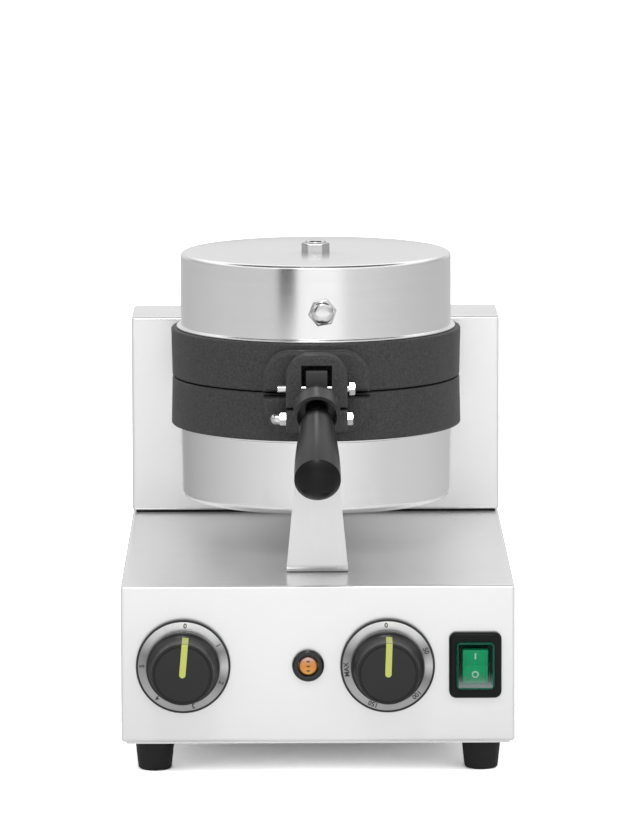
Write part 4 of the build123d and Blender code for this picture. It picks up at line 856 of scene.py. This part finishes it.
class PRESS_OT_knobs(bpy.types.Operator):
    """Spins the two knobs: a grooved face, a flank that runs out to a skirt, a hollow back"""

    bl_idname = "press.knobs"
    bl_label = "Knobs"

    CAP_DEPTH = 4 * MM

    def face(self, front):
        """The outline from the middle of the face over its groove to the cap's edge."""
        size = sizes()
        groove = size.knob_groove
        lean = 0.2 * MM
        sunk = 0.25 * MM
        corners = [
            (0, front, 0),
            (size.knob_face, front, 0.25 * MM),
            (size.knob_face + lean, front - groove, 0.15 * MM),
            (size.knob_face + groove, front - groove, 0.15 * MM),
            (size.knob_face + groove + lean, front - sunk, 0.2 * MM),
            (size.knob_cap, front - sunk, 0.8 * MM),
            (size.knob_cap, front - self.CAP_DEPTH, 0),
        ]
        return rounded(corners)[:-1]

    def flank(self, front, skirt):
        """The outline from the foot of the cap down and out to the skirt."""
        size = sizes()
        points = interpolate_bezier(
            (size.knob_cap, front - self.CAP_DEPTH),
            (size.knob_cap + 0.2 * MM, size.knob_shoulder + 7 * MM),
            (size.knob_cap + 1.0 * MM, size.knob_shoulder + 1.6 * MM),
            (skirt - 0.6 * MM, size.knob_shoulder + 0.3 * MM),
            14,
        )
        return [Vector(point[:2]) for point in points]

    def back(self, start, skirt, back, bore, socket):
        """The outline from the skirt over the hollow back and into the bore for the shaft."""
        size = sizes()
        hollow = back + 4.5 * MM
        boss = bore + 3 * MM
        corners = [
            (*start, 0),
            (skirt, size.knob_shoulder, 0.4 * MM),
            (skirt, back, 0.4 * MM),
            (size.knob_hollow, back, 0.2 * MM),
            (size.knob_hollow, hollow, 0.5 * MM),
            (boss, hollow, 0.3 * MM),
            (boss, back, 0.2 * MM),
            (bore, back, 0),
            (bore, socket, 0),
            (0, socket, 0),
        ]
        return rounded(corners)[1:]

    def execute(self, context):
        play = 0.02 * MM
        for name in ("timer", "thermostat"):
            node = name + "_knob"
            shaft = name + "_shaft"
            back, front = stands_out(node)
            skirt = half_width(node)
            outline = self.face(front) + self.flank(front, skirt)
            socket = stands_out(shaft)[1]
            outline += self.back(outline[-1], skirt, back, half_width(shaft) + play, socket)
            bm = turned(outline)
            bm.transform(panel_seat(node))
            piece(node + "_turned", bm, knob_charcoal(), node, node)
        return {"FINISHED"}


class PRESS_OT_dials(bpy.types.Operator):
    """Prints the figures round the two dials"""

    bl_idname = "press.dials"
    bl_label = "Dial figures"

    # Each figure's place, in degrees clockwise from the top
    TIMER = {"0": 3, "1": 58.7, "2": 113.5, "3": 166, "4": 219, "5": 271}
    THERMOSTAT = {"0": -2, "50": 68.5, "100": 135.5, "150": 200.7, "MAX": 265}

    def execute(self, context):
        size = sizes()
        for node, figures in (("timer_dial", self.TIMER), ("thermostat_dial", self.THERMOSTAT)):
            bm = bmesh.new()
            lift = stands_out(node)[1] + size.ink / 2
            for text, degrees in figures.items():
                turn = Matrix.Rotation(radians(-degrees), 4, "Z")
                out = Matrix.Translation((0, size.letter_ring, lift))
                upright = panel_seat(node) @ turn @ out
                add_letters(bm, text, size.letter, size.ink, upright)
            piece(node + "_figures", bm, dial_print(), node)
        return {"FINISHED"}


class PRESS_OT_lamp(bpy.types.Operator):
    """Spins the lamp's bezel and its domed lens"""

    bl_idname = "press.lamp"
    bl_label = "Pilot lamp"

    def execute(self, context):
        size = sizes()
        radius = half_width("lamp_bezel")
        front = stands_out("lamp_bezel")[1]
        play = 0.1 * MM
        mouth = size.lens + play
        lip = 0.2 * MM
        ring = [
            (radius, 0, 0.1 * MM),
            (radius, front, 2.0 * MM),
            (mouth + lip, front, 0.6 * MM),
            (mouth, 0, 0.1 * MM),
        ]
        bm = turned(rounded(ring), closed=True)
        bm.transform(panel_seat("lamp_bezel"))
        piece("lamp_bezel_turned", bm, bezel_black(), "lamp_bezel", "lamp_bezel")
        foot = 0.4 * MM
        curve = [
            (size.lens, front * 0.45),
            (size.lens, front * 0.9),
            (size.lens * 0.6, front),
            (0, front),
        ]
        dome = [Vector(point[:2]) for point in interpolate_bezier(*curve, 14)]
        bm = turned([Vector((0, foot)), Vector((size.lens, foot))] + dome)
        bm.transform(panel_seat("lamp_bezel"))
        piece("lamp_lens_domed", bm, amber_lens(), "lamp_lens", "lamp_lens")
        return {"FINISHED"}


class PRESS_OT_switch_marks(bpy.types.Operator):
    """Prints a line and a ring on the switch's rocker"""

    bl_idname = "press.switch_marks"
    bl_label = "Switch marks"

    # Each mark's height above the rocker's middle, in millimetres
    MARKS = {"I": 6.2, "O": -5.9}

    def execute(self, context):
        size = sizes()
        middle = span("switch_rocker")[2]
        bm = bmesh.new()
        for text, rise in self.MARKS.items():
            at, facing = front_of("switch_rocker", middle.x, middle.z + rise * MM)
            add_letters(bm, text, size.mark, size.ink, seat(at + facing * size.ink / 2, facing))
        piece("switch_rocker_marks", bm, mark_white(), "switch_rocker")
        return {"FINISHED"}


# Studio


def bearing(x, y):
    """Which way a place lies: 0 is behind the press, 0.25 left, 0.5 before it and 0.75 right."""
    return x.heading(-y) / (2 * pi) + 0.5


def world_light(strength):
    """A room with a bright wall before the press, grey side walls and a white ceiling.

    The ceiling has a dark patch overhead, and the camera sees the whole room white.
    """
    ceiling = (1.38, 1.38, 1.38)
    patch = (0.10, 0.10, 0.10)
    world = bpy.data.worlds.new("studio_world")
    world.use_nodes = True
    bpy.context.scene.world = world
    f = Finish(world.node_tree)
    x, y, z = f.parts(f.add("ShaderNodeTexCoord")["Generated"])
    walls = [(0.0, 0.84), (0.08, 0.82), (0.14, 0.50), (0.27, 0.60), (0.41, 0.66), (0.436, 0.70)]
    walls += [(0.455, 1.02), (0.55, 1.02), (0.575, 0.74), (0.73, 0.60), (0.86, 0.50), (0.94, 0.84)]
    room = f.mix(f.ramp(z, [(0.32, 0.0), (0.62, 1.0)]), f.ramp(bearing(x, y), walls), ceiling)
    overhead = z + abs(x) * 0.3
    room = f.mix(f.ramp(overhead, [(0.90, 0.0), (0.95, 1.0)]), room, patch)
    lit = f.add("ShaderNodeBackground", None, {"Color": room, "Strength": strength})
    white = f.add("ShaderNodeBackground", None, {"Color": (1, 1, 1, 1), "Strength": 1.0})
    seen = f.add("ShaderNodeLightPath")["Is Camera Ray"]
    shown = f.add("ShaderNodeMixShader", None, {0: seen, 1: lit, 2: white})
    f.add("ShaderNodeOutputWorld", None, {"Surface": shown})


def floor_paper():
    """Paper that keeps the shadow and is white to the camera.

    Shiny surfaces mirror it lighter and darker round the press. The pattern within 1.48 m
    of the middle gives way to another, which is whole from 1.72 m.
    """
    blank = (2.6, 2.6, 2.6)
    made = bpy.data.materials.new("floor_paper")
    made.use_nodes = True
    f = Finish(made.node_tree)
    x, y, _ = f.parts(f.place())
    turn = bearing(x, y)
    close = [(0.0, 0.64), (0.10, 0.46), (0.24, 0.66), (0.38, 0.86), (0.45, 0.95), (0.475, 1.13)]
    close += [(0.525, 1.13), (0.55, 0.95), (0.66, 0.76), (0.78, 0.76), (0.90, 0.68), (1.0, 0.64)]
    far = [(0.0, 0.82), (0.10, 0.68), (0.27, 0.98), (0.38, 0.94), (0.434, 0.92), (0.450, 1.64)]
    far += [(0.545, 1.66), (0.585, 1.06), (0.73, 0.88), (0.90, 0.72), (1.0, 0.82)]
    covered = 4
    reach = (x * x + y * y).root() / covered
    beyond = f.ramp(reach, [(1.48 / covered, 0.0), (1.72 / covered, 1.0)])
    mirror = f.mix(beyond, f.ramp(turn, close), f.ramp(turn, far))
    grain = f.noise(f.place(), 40.0, 3.0)
    path = f.add("ShaderNodeLightPath")
    mirrored = path["Is Glossy Ray"] + path["Is Transmission Ray"]
    colour = f.mix(mirrored, f.mottle(grain, (0.80, 0.80, 0.80), 0.01), mirror)
    colour = f.mix(path["Is Camera Ray"], colour, blank)
    paper = f.add("ShaderNodeBsdfDiffuse", None, {"Color": colour})
    f.add("ShaderNodeOutputMaterial", None, {"Surface": paper})
    return made


def flag(studio):
    """A narrow dark card that only shiny surfaces see, as a streak in the casings."""
    low = studio.flag_low
    high = studio.flag_high
    away = studio.flag_away
    turn = studio.flag_turn
    bm = bmesh.new()
    bmesh.ops.create_grid(bm, x_segments=1, y_segments=1, size=0.5)
    bm.transform(Matrix.Diagonal((studio.flag_width, high - low, 1, 1)))
    at = Vector((sin(turn) * away, -cos(turn) * away, (low + high) / 2))
    bm.transform(seat(at, (-at.x, -at.y, 0)))
    card = show("flag", bm, plain("flag_cloth", (0.05, 0.05, 0.05), 0.9))
    card.visible_camera = False
    card.visible_diffuse = False
    card.visible_shadow = False


def area_light(name, at, towards, width, height, power, mirrored=True):
    """A rectangular lamp that faces a point. Shiny surfaces show it if it is mirrored."""
    lamp = bpy.data.lights.new(name, "AREA")
    lamp.shape = "RECTANGLE"
    lamp.size = width
    lamp.size_y = height
    lamp.energy = power
    made = bpy.data.objects.new(name, lamp)
    made.location = at
    made.rotation_euler = (Vector(towards) - Vector(at)).to_track_quat("-Z", "Y").to_euler()
    made.visible_glossy = mirrored
    bpy.context.scene.collection.objects.link(made)


class PressStudio(bpy.types.PropertyGroup):
    """Floor, camera and light"""

    floor: distance("Floor", "From its middle to its edges", 14.0)
    camera_back: distance("Camera distance", "From the box's front face", 3.733)
    camera_up: distance("Camera height", "Above the floor", 0.760)
    camera_side: distance("Camera offset", "To the right of the middle", -0.0136)
    camera_pitch: slant("Camera pitch", "Downwards", 8.029)
    camera_yaw: slant("Camera yaw", "To the right", 0.15)
    camera_roll: slant("Camera roll", "Clockwise", 0.2)
    lens: FloatProperty(name="Lens", description="Focal length in mm", default=260.6)
    sky: FloatProperty(name="Sky", description="Strength of the room's light", default=0.94)
    key: FloatProperty(name="Key", description="Main light", default=10.5, unit="POWER")
    fill: FloatProperty(name="Fill", description="Side light's share of the main", default=0.5)
    flag_away: distance("Flag distance", "Of the dark card from the middle", 0.30)
    flag_turn: slant("Flag bearing", "To the right of the front", -21.6)
    flag_low: distance("Flag foot", "Height of the card's lower edge", 0.291)
    flag_high: distance("Flag top", "Height of the card's upper edge", 0.50)
    flag_width: distance("Flag width", "Of the dark card", 0.070)


class PRESS_OT_studio(bpy.types.Operator):
    """Sets up the floor, the lights and the camera"""

    bl_idname = "press.studio"
    bl_label = "Studio"

    AIM = (0, 0, 0.15)
    KEY_AT = (-0.15, -1.7, 2.2)
    FILL_AT = (1.6, -1.8, 1.2)

    def light(self, studio):
        world_light(studio.sky)
        flag(studio)
        aim = self.AIM
        area_light("key", self.KEY_AT, aim, width=0.5, height=0.5, power=studio.key)
        side = studio.key * studio.fill
        area_light("fill", self.FILL_AT, aim, width=1.2, height=1.6, power=side, mirrored=False)

    def camera(self, studio):
        camera = bpy.data.cameras.new("camera")
        camera.lens = studio.lens
        camera.sensor_width = 36
        camera.clip_end = 100
        made = bpy.data.objects.new("camera", camera)
        bpy.context.scene.collection.objects.link(made)
        made.location = (studio.camera_side, FRONT - studio.camera_back, studio.camera_up)
        look = Matrix.Rotation(-studio.camera_yaw, 4, "Z")
        look = look @ Matrix.Rotation(pi / 2 - studio.camera_pitch, 4, "X")
        look = look @ Matrix.Rotation(-studio.camera_roll, 4, "Z")
        made.rotation_euler = look.to_euler()
        bpy.context.scene.camera = made

    def execute(self, context):
        studio = context.scene.press_studio
        bm = bmesh.new()
        bmesh.ops.create_grid(bm, x_segments=1, y_segments=1, size=studio.floor)
        floor = show("floor", bm, floor_paper())
        self.light(studio)
        self.camera(studio)
        context.scene.view_settings.view_transform = "Standard"
        return {"FINISHED"}


STEPS = [
    PRESS_OT_finishes,
    PRESS_OT_casings,
    PRESS_OT_cap_nuts,
    PRESS_OT_knobs,
    PRESS_OT_dials,
    PRESS_OT_lamp,
    PRESS_OT_switch_marks,
    PRESS_OT_studio,
]
GROUPS = {"press_sizes": PressSizes, "press_colours": PressColours, "press_studio": PressStudio}


class PRESS_PT_sidebar(bpy.types.Panel):
    """The steps that dress the press, in their order"""

    bl_idname = "PRESS_PT_sidebar"
    bl_label = "Burger press"
    bl_space_type = "VIEW_3D"
    bl_region_type = "UI"
    bl_category = "Press"

    def draw(self, context):
        for step in STEPS:
            self.layout.operator(step.bl_idname)


CLASSES = [*GROUPS.values(), *STEPS, PRESS_PT_sidebar]


def register():
    for made in CLASSES:
        bpy.utils.register_class(made)
    for name, group in GROUPS.items():
        setattr(bpy.types.Scene, name, PointerProperty(type=group))


def unregister():
    for name in GROUPS:
        delattr(bpy.types.Scene, name)
    for made in reversed(CLASSES):
        bpy.utils.unregister_class(made)


def main():
    """Runs the steps in their order."""
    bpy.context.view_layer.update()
    register()
    for step in STEPS:
        area, action = step.bl_idname.split(".")
        getattr(getattr(bpy.ops, area), action)()


if __name__ == "__main__":
    main()
